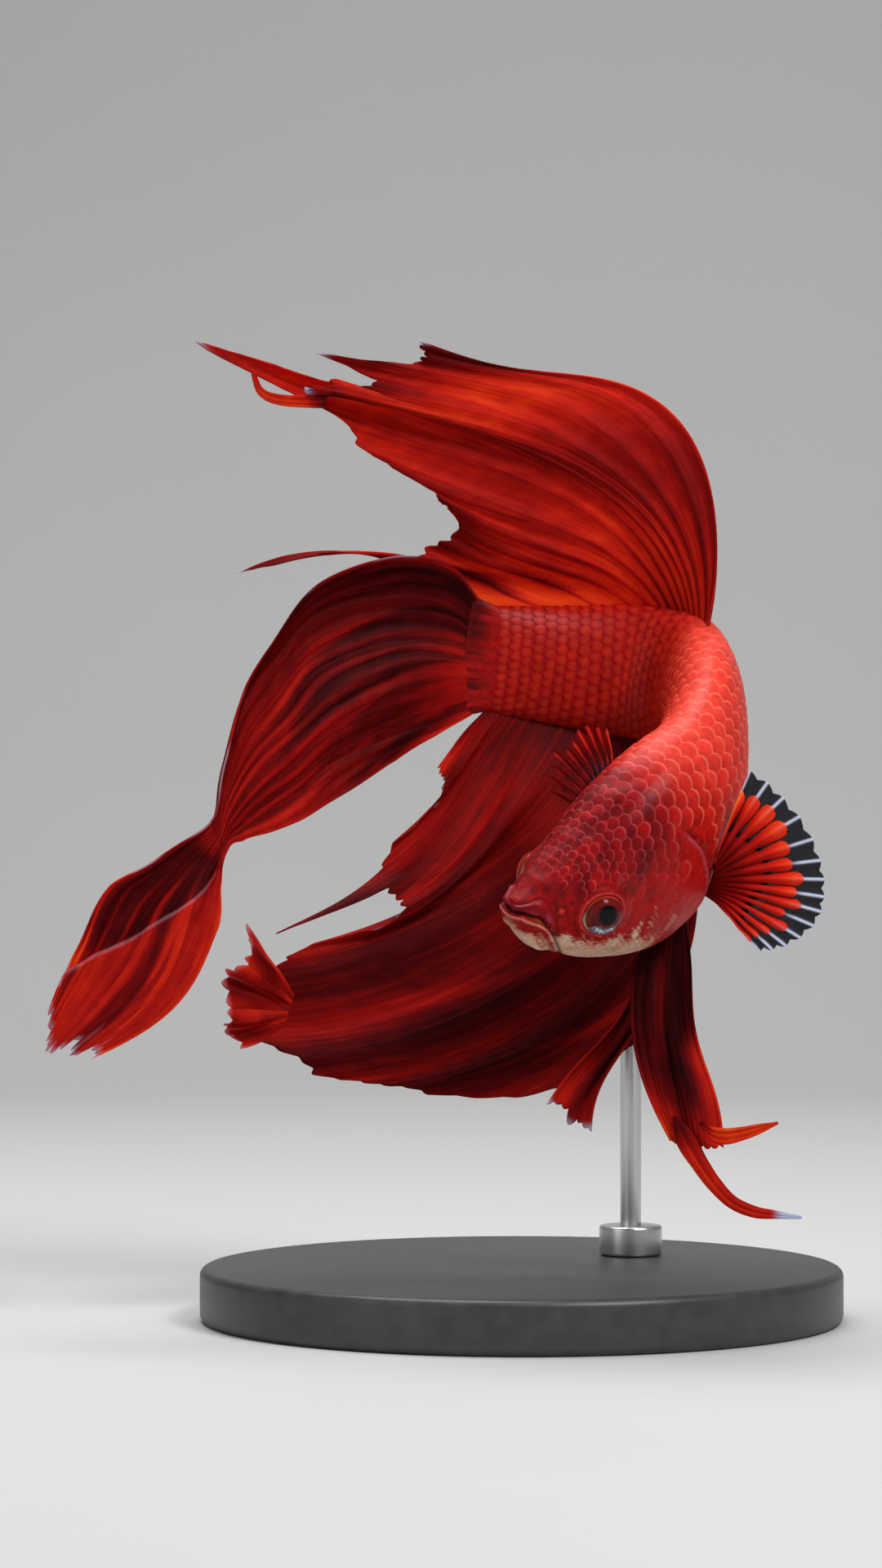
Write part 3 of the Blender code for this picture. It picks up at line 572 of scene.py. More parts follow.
def mouth_paint(colour, points, small):
    """A crimson upper lip with a pale pink ring painted as a highlight on its roll, painted shade in its
    crease and the slit, the lower lip's edge bright, and an orange spot between the lips."""
    gone, below, oval = mouth_place(points)
    above = ease(0.05, -0.1, below)
    roll = ease(1.05, 0.85, oval) * above
    edge = 0.07 + 0.38 * ease(3.4, 1.6, gone)
    return layered(
        colour,
        ((0.17, 0.004, 0.009), 0.85 * roll),
        # A painted highlight on the upper lip's roll.
        ((0.5, 0.05, 0.09), 0.6 * roll * ease(-0.4, 0.8, small) * hill(oval, 0.75, 0.18)),
        # Painted shade in the crease round the upper lip.
        (DARK, 0.7 * hill(oval, 1.2, 0.1) * above),
        ((0.26, 0.008, 0.008), 0.9 * fading(gone, MOUTH_LENGTH - 0.3) * hill(below, 0.55, 0.35)),
        ((0.8, 0.22, 0.16), 0.8 * fading(gone, 3.3) * hill(below, edge, 0.08)),
        # Painted shade in the slit.
        ((0.012, 0.001, 0.001), 0.95 * fading(gone, MOUTH_LENGTH) * hill(below, 0, 0.1)),
        ((0.7, 0.18, 0.02), 0.8 * hill(gone, 1.9, 0.35) * hill(below, 0.12, 0.08)),
        ((0.42, 0.06, 0.02), 0.75 * hill(np.hypot(gone - 2.2, (below - 1.15) * 1.6), 0.3, 0.12)))


def tail_stub(angles):
    """Rings past the tail base and their paint: they flare a little while their half width falls
    off over the tail fin's roots, and darken in streaks."""
    last, backward = along(BACKBONE, array(1))
    _, _, left, up = body_frame(array(1))
    ring = body_point(np.ones_like(angles), angles, -COAT_DEPTH) - last
    share = sin(radians(linspace(6, 86, 16)))[:, None]
    across, tall = ring @ left, ring @ up
    thin = (1 - share) ** 1.25 * (1 + 0.15 * cos(tall * 7) * share)
    reach = 2.4 - 0.02 * tall ** 2 - 0.08 * (1 - cos(tall * 7))
    stub = (last + backward * (share * reach)[..., None]
        + left * (across * thin)[..., None] + up * (tall * (1 + 0.14 * share))[..., None])
    ones = np.ones(stub.shape[:2])
    share = linspace(0, 1, len(stub))[:, None]
    streak = ease(-0.3, 0.7, wander(16, tall * 6, 0.8 * share) + 0.5 * wander(17, tall * 16, share))
    high = ease(-0.5, 1.5, tall)
    return stub, layered(marking(ones, angles * ones, stub),
        ((0.33, 0.007, 0.006), ease(0, 0.45, share) * (1 - high)),
        ((0.12, 0.002, 0.003), ease(0, 0.6, share) * high),
        ((0.07, 0.002, 0.003), 0.75 * ease(-0.1, 0.5, share) * streak))


def make_skin(material):
    """One skin: a cap at the snout whose rings shrink as a sine while they move ahead as a cosine,
    rings bent so that one lies on the gill cover's edge, and the stub over the tail fin's root."""
    sides = 288
    angles = linspace(0, TAU, sides, endpoint=False)
    near = array((0.0003, 0.0015, 0.003, 0.005, 0.0075))
    rows = np.unique(concatenate((
        linspace(0.004, 0.14, 90), linspace(0.143, 0.3, 60), GILL_RING - near, GILL_RING + near,
        linspace(0.306, 0.62, 64), linspace(0.626, 1, 60))))
    place, angle = meshgrid(rows, angles, indexing="ij")
    hold = interp(place, (0.03, GILL_RING, 0.4), (0, 1, 0))
    place = place + (gill_edge(angle) - GILL_RING) * hold
    ring = body_point(place[0], angles, -COAT_DEPTH)
    centre, forward, _, _ = body_frame(array(0.004))
    swing = radians(linspace(6, 84, 14))[:, None, None]
    cap = lips(centre + (ring - centre) * sin(swing) + forward * 0.38 * cos(swing))
    body = skin_point(place, angle)
    stub, stub_paint = tail_stub(angles)
    rings = concatenate((cap, body, stub))
    cap_paint = marking(np.zeros(cap.shape[:2]), np.broadcast_to(angles, cap.shape[:2]), cap)
    paint = concatenate((cap_paint, marking(place, angle, body), stub_paint))
    tip = lips((centre + forward * 0.38)[None])
    points = concatenate((rings.reshape(-1, 3), tip, stub[-1].mean(axis=0)[None]))
    paint = concatenate((paint.reshape(-1, 3), paint[0, :1], paint[-1, :1]))
    count = len(rings)
    number = ring_numbers(count, sides)
    blocks = [grid_faces(number), cap_faces(count * sides, number[0]),
        cap_faces(count * sides + 1, number[-1, ::-1])]
    round_it, down = meshgrid(linspace(0, 1, sides), linspace(0, 1, count))
    flat = concatenate((stack((round_it, down), -1).reshape(-1, 2), ((0.5, 0), (0.5, 1))))
    make("skin", ("head", "trunk", "tail_trunk"), material, points, blocks,
        {"paint": paint}, flat)


# ---- scales ----

PLATE_ACROSS = array((-1, -0.8, -0.42, 0, 0.42, 0.8, 1))
PLATE_ALONG = array((0, 0.3, 0.56, 0.76, 0.89, 0.955, 1))
# place, distance between a line of scales and the next, height of a scale's rear edge
SCALE_LINES = array(((0.04, 0.5, 0.012), (0.12, 0.64, 0.018), (0.2, 0.9, 0.045), (0.3, 1.25, 0.075),
    (0.45, 1.42, 0.08), (0.6, 1.3, 0.072), (0.75, 1, 0.055), (1, 0.84, 0.045)))
SCALES_ROUND = 27, 36      # scales in each line round the body, and round the face
FACE_END = 0.19


def scale_roots():
    """Place, angle and half the turn of every scale: lines round the body, each spaced evenly by
    length and turned half a scale from the one before."""
    places = [0.045]
    while places[-1] < 0.99:
        places.append(places[-1] + float(interp(places[-1], *SCALE_LINES[:, :2].T)) / BODY_LENGTH)
    turn = linspace(0, TAU, 361)
    outline = body_point(*meshgrid(places, turn, indexing="ij"))
    gone = cumsum(size(np.diff(outline, axis=1, prepend=outline[:, :1])), 1)
    lines = []
    for k, (place, row) in enumerate(zip(places, gone / gone[:, -1:])):
        count = SCALES_ROUND[place < FACE_END]
        even = ((arange(count) + 0.25 * (-1) ** k) / count) % 1
        lines.append((np.full(count, place), interp(even, row, turn),
            interp(even, row, gradient(turn, row)) / count / 2))
    return concatenate(lines, axis=1)


def make_scales(name, material, first, last, seed):
    """Overlapping closed plates from a first place up to a last: grids on the skin that end on
    the arc 1 - 0.2 |u|^2.2, rise evenly from under the skin to it, and are crowned by 1 - u^2."""
    chance = np.random.default_rng(seed)
    place, angle, half_turn = scale_roots()
    place = place + chance.normal(0, 0.0008, len(place))
    angle = angle + chance.normal(0, 0.008, len(place))
    kept = has_scale(place, angle) & (place >= first) & (place < last)
    place, angle, half_turn = (x[kept][:, None, None] for x in (place, angle, half_turn))
    tone = chance.uniform(-1, 1, len(place))[:, None, None]
    spacing, height = (interp(place, SCALE_LINES[:, 0], SCALE_LINES[:, i]) for i in (1, 2))
    u, v = meshgrid(PLATE_ACROSS, PLATE_ALONG)
    rear = v * (1 - 0.2 * np.abs(u) ** 2.2)
    plate_place = clip(place + (rear - 0.55) * spacing * 2.3 / BODY_LENGTH, 0.002, 0.999)
    plate_angle = angle + u * 1.14 * half_turn
    sunk = 0.03 + 0.06 * ease(0.15, 0.3, place)
    rise = -sunk + (height + sunk) * rear + 0.3 * height * (1 - u ** 2) * sin(math.pi * v ** 1.5 * 0.85)
    rise = rise - 0.35 * height * u ** 4 * v + 0.01 * tone * rear
    top = skin_point(plate_place, plate_angle, rise)
    paint = scale_look(marking(plate_place, plate_angle, top), u, v, plate_place, plate_angle, tone)
    number = arange(u.size).reshape(u.shape)
    border = concatenate((number[0, :-1], number[:-1, -1], number[-1, :0:-1], number[:0:-1, 0]))
    under = u.size + arange(len(border))
    rim = stack((border, np.roll(border, 1), np.roll(under, 1), under), -1)
    normal = outwards(plate_place, plate_angle)
    normal, top, paint = (x.reshape(len(place), -1, 3) for x in (normal, top, paint))
    points = concatenate((top, top[:, border] - normal[:, border] * 0.07), 1)
    # The plates' side walls get their top's paint darkened, as painted shade.
    paint = concatenate((paint, paint[:, border] * 0.6), 1)
    shift = (arange(len(place)) * points.shape[1])[:, None, None]
    blocks = [(shift + faces).reshape(-1, faces.shape[1])
        for faces in (grid_faces(number)[:, ::-1], rim, under[None])]
    patch = stack((u.ravel() * 0.5 + 0.5, v.ravel()), -1)
    root = concatenate(((angle / TAU) % 1, place), -1) * 0.994
    flat = root + concatenate((patch, patch[border])) * 0.003
    make(name, (), material, points, blocks, {"paint": paint.reshape(-1, 3)},
        flat.reshape(-1, 2), 50)


def scale_look(colour, u, v, place, angle, tone):
    """A scale's shades: on the front body a dark root, painted shade under the scale ahead, and a pale rim
    that is partly a painted highlight fading down the sides; on the tail half a bright bar and a dark root,
    also painted shade; a dark cell in a pinkish net on the head."""
    turn = from_top(angle)
    head, tail = ease(0.29, 0.19, place), ease(0.6, 0.7, place)
    front = (1 - head) * (1 - tail)
    crown = head * ease(96, 58, turn)
    rim = ease(0.9, 0.97, v)
    net = maximum(rim, ease(0.8, 0.98, np.abs(u)) * ease(0.55, 0.75, v))
    return layered(
        colour * (1 + (0.1 + 0.1 * head) * tone)[..., None],
        # Painted shade at the root, under the scale ahead.
        (DEEP_RED, front * 0.55 * ease(0.75, 0.42, v) * ease(10, 50, turn)),
        # A pale rim, partly a painted highlight, fading toward the belly.
        ((0.86, 0.17, 0.1), front * 0.5 * rim * (1 - 0.6 * ease(70, 120, turn))),
        ((0.88, 0.09, 0.02), tail * 0.22 * hill(v, 0.8, 0.1) * (1 - u ** 2)),
        # Painted shade at the root on the tail half.
        ((0.2, 0.003, 0.003), tail * 0.2 * ease(0.62, 0.45, v)),
        (DARK, 0.48 * crown * ease(0.85, 0.55, v)),
        (PINK, (0.04 * head + 0.25 * crown * (1 + 0.35 * tone)) * net))


def has_scale(place, angle):
    """Where scales grow: off the eyes, lips, nostrils, lower cheek and the gill cover's rim."""
    turn = from_top(angle)
    points = body_point(place, angle, -COAT_DEPTH)
    edge = gill_edge(angle)
    on_head = ((turn < 92) & (place > where(turn < 50, 0.05, 0.07)) & (eye_distance(points) > 2.3)
        & ((place < edge - 0.035) | (turn < 62)) & (spot_distance(points, *NOSTRIL) > 0.9))
    return where(place < edge + 0.01, on_head, place < 0.992)


# ---- eyes ----

def make_eye(name, side, ground, material):
    """A glossy dome, rings of a half sine profile closed behind: a black pupil, dark red rings, a speckled
    silver-blue crescent low down, and at the rim a cream edge on one side as painted light, dark red on the
    other as painted shade."""
    socket, axis, down, ahead = eye_frame(side)
    sides = 128
    share = linspace(0, 1, 60)
    out = sin(concatenate((share, linspace(0.9, 0, 4))) * math.pi / 2)
    high = concatenate((cos(share * math.pi / 2) ** 0.85, (-0.25, -0.4, -0.45, -0.45)))
    radius, turn = meshgrid(out * EYE_RADIUS, linspace(0, TAU, sides, endpoint=False), indexing="ij")
    low, fore = radius * cos(turn), radius * sin(turn)
    points = (socket + axis * EYE_SET + down * low[..., None] + ahead * fore[..., None]
        + axis * (high * EYE_BULGE)[:, None, None])
    fine = wander(21, radius * 9, turn * 14) + 0.6 * wander(22, radius * 25, turn * 40)
    pupil = np.hypot(low + 0.4, fore)
    crescent = hill(radius, 1, 0.24) * ease(0.5, 0.86, cos(turn) + 0.03 * fine)
    # Painted light: this side of the rim is painted cream, and the other side is painted dark red as shade.
    painted_light = ease(0.35, 0.8, cos(turn - 0.75))
    paint = layered(
        np.broadcast_to(ground, points.shape),
        ((0.2, 0.01, 0.008), 0.8 * hill(radius, 1.24, 0.1)),
        ((0.15, 0.006, 0.006), 0.7 * hill(pupil, 0.95, 0.08)),
        ((0.02, 0.002, 0.003), 0.8 * hill(radius, 1.42, 0.07)),
        ((0.16, 0.24, 0.38), crescent),
        ((0.78, 0.86, 0.92), crescent * ease(0.1, 0.9, fine + 0.5 * hill(radius, 0.92, 0.15))),
        ((0.8, 0.55, 0.36), 0.9 * hill(radius, 1.53, 0.09) * painted_light),
        ((0.5, 0.035, 0.02), 0.85 * hill(radius, 1.52, 0.08) * (1 - painted_light)),
        ((0.003, 0.003, 0.004), ease(0.72, 0.66, pupil)))
    number = ring_numbers(len(out), sides)
    blocks = [grid_faces(number[1:-1]), cap_faces(0, number[1]), cap_faces(number[-1, 0], number[-2, ::-1])]
    if side > 0:
        blocks = [block[:, ::-1] for block in blocks]
    flat = 0.5 + stack((low, fore), -1) / 3.4
    make(name, (name,), material, points, blocks, {"paint": paint.reshape(-1, 3)}, flat.reshape(-1, 2))


# ---- fins ----

def web_waves(u, v):
    """wander as a function of a seed, how often it turns along u, and how often along v."""
    return lambda seed, often_u, often_v: wander(seed, u * often_u, v * often_v)


def fan(foot, rays, columns, rows, spread, tip_powers, tooth_count, tooth):
    """The middle surface of a fin held by rays: a point moves out along its ray at the table's
    headings and depths. Tabled rays run past the web's edge in spikes (1 - x)^power, and the
    fine rays' ends stand out as teeth. Also u across it, v out along it, their waves, and the
    rays' lengths."""
    u = linspace(0, 1, columns)
    table = smooth(rays, u)
    place, length, web = table[:, :3].T
    root = foot(place)
    index = u * (len(rays) - 1)
    power = np.broadcast_to(tip_powers, len(rays))[np.round(index).astype(int)]
    reach = web + (1 - web) * maximum(0, 1 - off_whole(index) / spread) ** power
    reach = reach - tooth * (off_whole(u * tooth_count) * 2) ** 1.4 / maximum(length, 1)
    steps = linspace(0, 1, RAY_STEPS + 1)
    headings = radians(smooth(table[:, 3:7].T, steps))
    run, rise = (cumsum(np.vstack((np.zeros(columns), way[1:] + way[:-1])), axis=0) / 2 / RAY_STEPS * length
        for way in (cos(headings), sin(headings)))
    depths = smooth(np.vstack((root[:, 1], table[:, 7:10].T)), steps)
    v = linspace(0, 1, rows)[:, None] * reach
    at = clip(v, 0, 1) * RAY_STEPS
    low = minimum(at.astype(int), RAY_STEPS - 1)
    lower, upper = (stack([np.take_along_axis(line, step, 0).T
        for line in (root[:, 0] + run, depths, root[:, 2] + rise)], -1) for step in (low, low + 1))
    points = lower + (upper - lower) * (at - low).T[..., None]
    return points, u[:, None], v.T, web_waves(u[:, None], v.T), length[:, None]


def veil(route, sections, columns, rows, start_at=0, end_at=1):
    """The middle surface of a sheet carried along a route: each section moves from its lower edge
    at its table's headings, and its mean lies on the route. Also u, v, their waves, its widths."""
    places = linspace(start_at, end_at, rows)
    centre, heading = along(route, places)
    table = smooth_table(sections, places)
    lean, angles = radians(table[:, 1]), radians(table[:, 2:])
    edgeways = stack((cos(lean), 0 * lean, sin(lean)), -1)
    frontways = unit(cross(edgeways, heading))
    turn = smooth(angles.T, linspace(0, 1, columns))
    middle = turn[1:] / 2 + turn[:-1] / 2
    step = (table[:, 0] / (columns - 1))[:, None]
    points = np.zeros((columns, rows, 3))
    points[1:] = (edgeways * step * cumsum(cos(middle), axis=0)[..., None]
        + frontways * step * cumsum(sin(middle), axis=0)[..., None])
    points = points - points.mean(axis=0) + centre
    u, v = linspace(0, 1, columns)[:, None], places[None]
    return points, u, v, web_waves(u, v), table[None, :, 0]


def spacing_of(points, count):
    """Distance between neighbouring rays: the width of a column times the columns a ray."""
    return size(gradient(points, axis=0)) * (len(points) - 1) / count


def ray_lines(points, u, v, count, width, first_split=(2, 3), second_split=(2, 3)):
    """1 on the line of a ray and 0 in the web, by a bell across it; a ray divides in two, and its
    branches again, over the given stretches of the way out."""
    off = np.abs(off_whole(u * count) - 0.25 * ease(*first_split, v))
    off = np.abs(off - 0.125 * ease(*second_split, v))
    spacing = spacing_of(points, count)
    return hill(off * spacing, 0, minimum(width, 0.2 * spacing))


def lifted(points, height, surface=None):
    """Points moved along the cross product of their surface's slopes, or of another's."""
    surface = points if surface is None else surface
    normal = unit(cross(gradient(surface, axis=0), gradient(surface, axis=1)))
    return points + normal * height[..., None]


def body_line(degrees):
    """The foot of a fin along the back (0 degrees) or the belly (180)."""
    return lambda place: body_point(place, np.full_like(place, math.radians(degrees)), -0.5)


def flank_line(side, body_place, first, last):
    """The foot of a paired fin, a short line round the flank."""
    return lambda place: body_point(np.full_like(place, body_place),
        side * radians(first + (last - first) * place), -0.1)


def corner_line(place):
    """The foot of the anal fin's crumpled corner, a short upright line."""
    return stack((-16.9 - 0.6 * place, -4.4 + 0 * place, 24.4 - 2.2 * place), -1)


def make_dorsal(material):
    """The dorsal fin: bellies of web between dark rays, a glow of light painted on their crests and shade
    painted in the creases, its tips bluish white.
    """
    points, u, v, waves, length = fan(body_line(0), DORSAL_RAYS, 330, 116, 0.333,
        (1.6, 1.6, 1.6, 1.2, 1.6, 1.6, 0.12), 36, 0.5)
    count = 13
    bands = u + 0.018 * waves(31, 9, 2.4)
    ray = ray_lines(points, bands, v, count, 0.15, (0.3, 0.95), (0.7, 1))
    crease = ray_lines(points, bands, v, count, 0.55)
    belly = 0.5 + 0.5 * cos(TAU * (bands * count - 0.5))
    swell = 0.55 * belly * v ** 0.8 * clip(spacing_of(points, count) / 2, 0, 1)
    points = lifted(points, swell + 0.5 * waves(32, 8, 2.2) * ease(0.15, 0.9, v))
    glow = ease(-0.6, 1, waves(34, 6, 3.5))
    # The tone paints light and shade: a glow on the bellies' crests where the glow mask is high, and shade
    # in the creases along the rays.
    tone = (0.49 + 0.32 * belly * glow * ease(0.12, 0.4, v) - 0.24 * ray * (0.4 + 0.6 * glow)
        - 0.34 * crease * ease(-0.9, 0.6, waves(36, 8, 4))
        - 0.16 * hill(u, 0, 0.05) + 0.17 * waves(33, 9, 7)
        - 0.1 * ease(0.25, 0, v) - 0.25 * ease(0.86, 1, u) * ease(0.2, 0.5, v)
        - 0.1 * ease(0.75, 1, v) + 0.5 * hill(u, 0, 0.006))
    tip = ease(0.965, 1, v) * ease(0.58, 0.5, u) + ease(0.97, 1, v) * ease(0.985, 1, u)
    sheet("dorsal_web", "dorsal_fin", material, points, 0.12 + 0.12 * ray * (1 - 0.5 * v), u,
        v * length, tone, tip)


def make_anal(material):
    """The anal fin: dark red, partly as painted shade under the body, with fine long rays, fold crests
    painted lighter and troughs darker, and bluish at its edge, a pale margin with painted glints.
    """
    points, u, v, waves, length = fan(body_line(180), ANAL_RAYS, 330, 116, 0.333, 1.6, 40, 0.4)
    count = 22
    bands = u + 0.012 * waves(41, 12, 2.6)
    ray = ray_lines(points, bands, v, count, 0.13, (0.25, 0.8), (0.6, 1))
    fold = sin(TAU * 7 * bands + 1.2 * waves(42, 5, 2.5))
    points = lifted(points, 0.42 * fold * ease(0.05, 0.7, v) + 0.05 * cos(TAU * bands * count) * v)
    wisps = ease(0.2, 1, wander(45, (u + 0.3 * v) * 40, v * 9)) * ease(0, 1, waves(46, 6, 4))
    # The tone paints light and shade: the folds' crests lighter, their troughs darker; its low base is
    # partly painted shade under the body.
    tone = (0.3 + 0.1 * ray + 0.16 * fold * ease(0.2, 0.8, v) + 0.22 * wisps * ease(0.2, 0.5, v)
        - 0.16 * ease(0.3, 0.02, v) + 0.12 * waves(43, 9, 4) + 0.16 * ease(0.7, 1, v))
    # The bluish white edge: a pale margin with painted glints.
    tip = 0.25 * ease(0.985, 1, v) * ease(0, 0.8, waves(44, 30, 1))
    sheet("anal_web", "anal_fin", material, points, 0.12 + 0.07 * ray * (1 - 0.4 * v), u,
        v * length, tone, tip)


def make_caudal(name, node, material, start_at, end_at, columns, rows, lobe):
    """A length of the tail fin: irregular pleats run along it, their crests painted lit, with wisps slanting
    off them. The lobe is folded to a pouch, painted dark inside as shade, with painted light in ribs there."""
    points, u, v, waves, _ = veil(CAUDAL_ROUTE, CAUDAL_SECTIONS, columns, rows, start_at, end_at)
    bands = u + 0.03 * waves(51, 6, 6) + 0.008 * waves(55, 20, 14)
    count = 12
    ray = ray_lines(points, bands, v, count, 0.1, (0.04, 0.3), (0.2, 0.6))
    fold = sin(TAU * bands * 4.6) * (0.6 + 0.4 * waves(56, 6, 6))
    pleat = cos(TAU * (bands * count + 0.12 * waves(59, 12, 12)))
    room = clip(spacing_of(points, 8) / 2, 0, 1)
    calm = ease(0.02, 0.2, v) * room * ease(0, 0.06, u) * ease(0, 0.06, 1 - u)
    points = lifted(points, (0.24 * fold + 0.05 * pleat) * calm)
    # This mask says where the pleats' crests are painted lit.
    painted_light = ease(-0.4, 0.9, waves(57, 9, 9))
    slant = wander(58, (u + 0.55 * v) * 46, v * 11) + 0.5 * waves(60, 70, 26)
    wisps = ease(0.25, 1.1, slant) * ease(-0.5, 0.6, waves(53, 7, 7))
    # Painted light and shade in the tone: lit crests, a highlight along the rolled top rim near u = 1 and
    # shade in a band under it.
    tone = (0.4 + 0.24 * ease(-0.8, 1.2, pleat + 0.8 * fold) * painted_light
        + 0.24 * wisps * ease(0.06, 0.25, v) - 0.06 * ray
        - 0.26 * ease(0, 0.9, wander(65, u * 12 + 3 * v, v * 4))
        + 0.1 * waves(54, 5, 5) + 0.34 * ease(0.16, 0, v) * ease(0.8, 0.5, u)
        + 0.18 * ease(0.07, 0, u) + 0.25 * hill(u, 0.985, 0.012) - 0.16 * hill(u, 0.93, 0.03))
    # The top rim's bluish white: a pale margin with a painted highlight.
    tip = 0.32 * ease(0.988, 1, u) * ease(0.1, 0.9, wander(52, v * 60, u))
    if lobe:
        past = 0.12 + 1 * ease(0.61, 1, v) ** 0.9 - u + 0.01 * wander(64, v * 30, 0 * u)
        flap = ease(-0.006, 0.014, past) * ease(0.59, 0.64, v)
        points = points - array((0, 0.9, 0)) * (flap * exp(-maximum(past, 0) / 0.35))[..., None]
        ragged = 0.9 * waves(62, 14, 0) + 0.5 * waves(63, 40, 0) - 0.4
        points = points + unit(gradient(points, axis=1)) * (ragged * ease(0.9, 1, v))[..., None]
        ribs = hill(off_whole(bands * 6), 0, 0.13) * ease(0.62, 0.72, v)
        # Inside the pouch the tone is painted shade, with painted light in ribs and toward its end; outside,
        # the flap is lighter.
        shaded_inside = 0.12 + 0.62 * ribs * (0.4 + 0.6 * painted_light) + 0.5 * ease(0.8, 0.9, v) + 0.3 * ease(0.9, 1, u)
        outer = tone + 0.22 * ease(0.6, 0.72, v) + 0.12 * ease(0.84, 1, v)
        shown = ease(0.595, 0.63, v)
        tone = tone * (1 - shown) + (shaded_inside * (1 - flap) + outer * flap) * shown
        tip = tip + 0.3 * ease(0.985, 1, v) + 0.2 * ease(0.9, 1, v) * wisps
        # A painted highlight along the flap's edge.
        tip = tip + 0.16 * hill(past, 0.012, 0.012) * ease(0.62, 0.7, v) * ease(0.95, 0.85, v)
    else:
        # Painted shade on the upper part near the root, under the rolled rim.
        tone = tone - 0.2 * hill(u, 0.82, 0.16) * ease(0.8, 0.5, v)
    sheet(name, node, material, points, 0.12 + 0.04 * ray, u, v * 62, tone, tip)


def make_anal_corner(material):
    """The anal fin's crumpled corner: petals with sharp creases between, their ridges painted lighter and
    the creases darker as light and shade.
    """
    points, u, v, waves, _ = fan(corner_line, CORNER_RAYS, 140, 60, 0.333, 1.5, 11, 0.5)
    crease = np.abs((u * 5) % 1 * 2 - 1) * 2 - 1
    points = lifted(points, 0.45 * crease * ease(0, 0.6, v) + 0.1 * waves(62, 20, 3))
    # Painted light and shade: ridges lighter, creases darker.
    tone = 0.36 + 0.18 * crease + 0.12 * waves(61, 14, 5) + 0.2 * ease(0.85, 1, v)
    # Pale ends, and a painted highlight on the ridges.
    tip = 0.22 * ease(0.9, 1, v) + 0.15 * ease(0.6, 1, crease) * ease(0.3, 0.9, v)
    sheet("anal_corner_web", "anal_fin_corner", material, points, 0.16, u, v * 6, tone, tip)


def make_pectoral(name, node, foot, rays, columns, spread, ray_count, painted_shade, film, material):
    """A pectoral fin: its rays carry orange lobes with rounded ends on a dark clear web, and their
    bluish white tips run on past the lobes."""
    points, u, v, waves, length = fan(foot, rays, columns, 84, spread, 1.5, ray_count, 0.35)
    phase = u * ray_count
    off = off_whole(phase)
    ends = np.random.default_rng(71).uniform(0.7, 0.86, ray_count + 2)[np.round(phase).astype(int)]
    lobe_end = ends + 0.03 - 0.02 * ease(0.35, 0.7, u)
    # This amount lowers the whole tone of the far fin as painted shade, and also narrows its lobes.
    wide = 0.2 + 0.22 * ease(0.3, 0.68, v) - 0.12 * ease(0.45, 0.9, u) - 0.5 * painted_shade
    past = maximum(0, (v - (lobe_end - 0.09)) / 0.09)
    rounding = np.sqrt(clip(1 - past ** 2, 0, 1))
    lobe = maximum(ease(0.06, -0.03, off - wide * rounding), ease(0.5, 0.34, v + 0.06 * cos(9 * u)))
    lobe = lobe * (v < lobe_end)
    ray = ray_lines(points, u, v, ray_count, 0.09)
    points = lifted(points, 0.16 * cos(TAU * phase) * ease(0.05, 0.6, v) + 0.12 * lobe * ease(0.4, 0.6, v))
    seam = hill(off, 0.5, 0.1) * ease(0.1, 0.3, v)
    tone = (0.12 + 0.26 * ease(0.15, 0.5, v) + 0.3 * ease(0.5, 0.75, v) - 0.3 * seam + 0.1 * ray
        + 0.45 * hill(u, 0, 0.012) - 0.1 * ease(0.45, 0.8, u) * ease(0.5, 0.8, v) - painted_shade)
    tip = clip(1.2 * ray * ease(0.66, 0.86, v) * (1 - 0.9 * lobe), 0, 1) * (film > 0)
    sheet(name, node, material, points, 0.08 + 0.12 * ray * (1 - 0.4 * v) + 0.12 * lobe, u, v * length,
        where(lobe < 0.5, -0.35, tone), tip, solid=clip(lobe + film * (1 + 2 * ray), 0, 1))


def make_small_fan(name, node, foot, rays, columns, rows, spread, count, folds, height, shaded_root_tone,
        end_tone, tip_at, material):
    """A pelvic fin: a pleated fan with fine rays, painted dark at its root as shade, lighter on a painted
    lit patch and toward its end.
    """
    points, u, v, waves, length = fan(foot, rays, columns, rows, spread, 1.5, count, 0.25)
    ray = ray_lines(points, u, v, count, 0.11, (0.3, 0.9), (0.95, 1.5))
    fold = sin(TAU * folds * u + 0.8 * waves(81, 5, 3))
    points = lifted(points, height * fold * ease(0.03, 0.5, v))
    # This mask paints light on a patch toward one side, from midway out.
    painted_light = ease(0.4, 0.9, u + 0.1 * waves(83, 5, 6)) * ease(0.45, 0.62, v)
    # The tone rises from painted shade at the root; fold crests a little lighter.
    tone = (shaded_root_tone + (end_tone - shaded_root_tone) * maximum(ease(0.62, 1, v), painted_light)
        + 0.05 * fold + 0.04 * ray + 0.1 * waves(82, 6, 6)
        + 0.25 * (hill(u, 1, 0.02) + hill(u, 0, 0.02)) * ease(0.2, 0.4, v))
    sheet(name, node, material, points, 0.12 + 0.1 * ray, u, v * length, tone,
        ease(tip_at, tip_at + 0.05, v))


def make_streamer(name, node, route, sections, rows, tone, tip_at, material):
    """A thin tip of a fin carried along a route, ridged lengthwise and pale at its end."""
    points, u, v, waves, width = veil(route, sections, 18, rows)
    ridge = cos(u * 14)
    points = lifted(points, 0.05 * ridge * ease(0, 0.1, v) * clip(width, 0, 1))
    # The ridges' crests are painted a little lighter, as light.
    tone = tone + 0.08 * ridge + 0.1 * waves(91, 4, 9) - 0.45 * ease(0.25, 0, v)
    sheet(name, node, material, points, 0.18 + 0.1 * (1 - v), u, v * 12, tone,
        ease(tip_at, tip_at + 0.08, v))


# ---- the stand ----

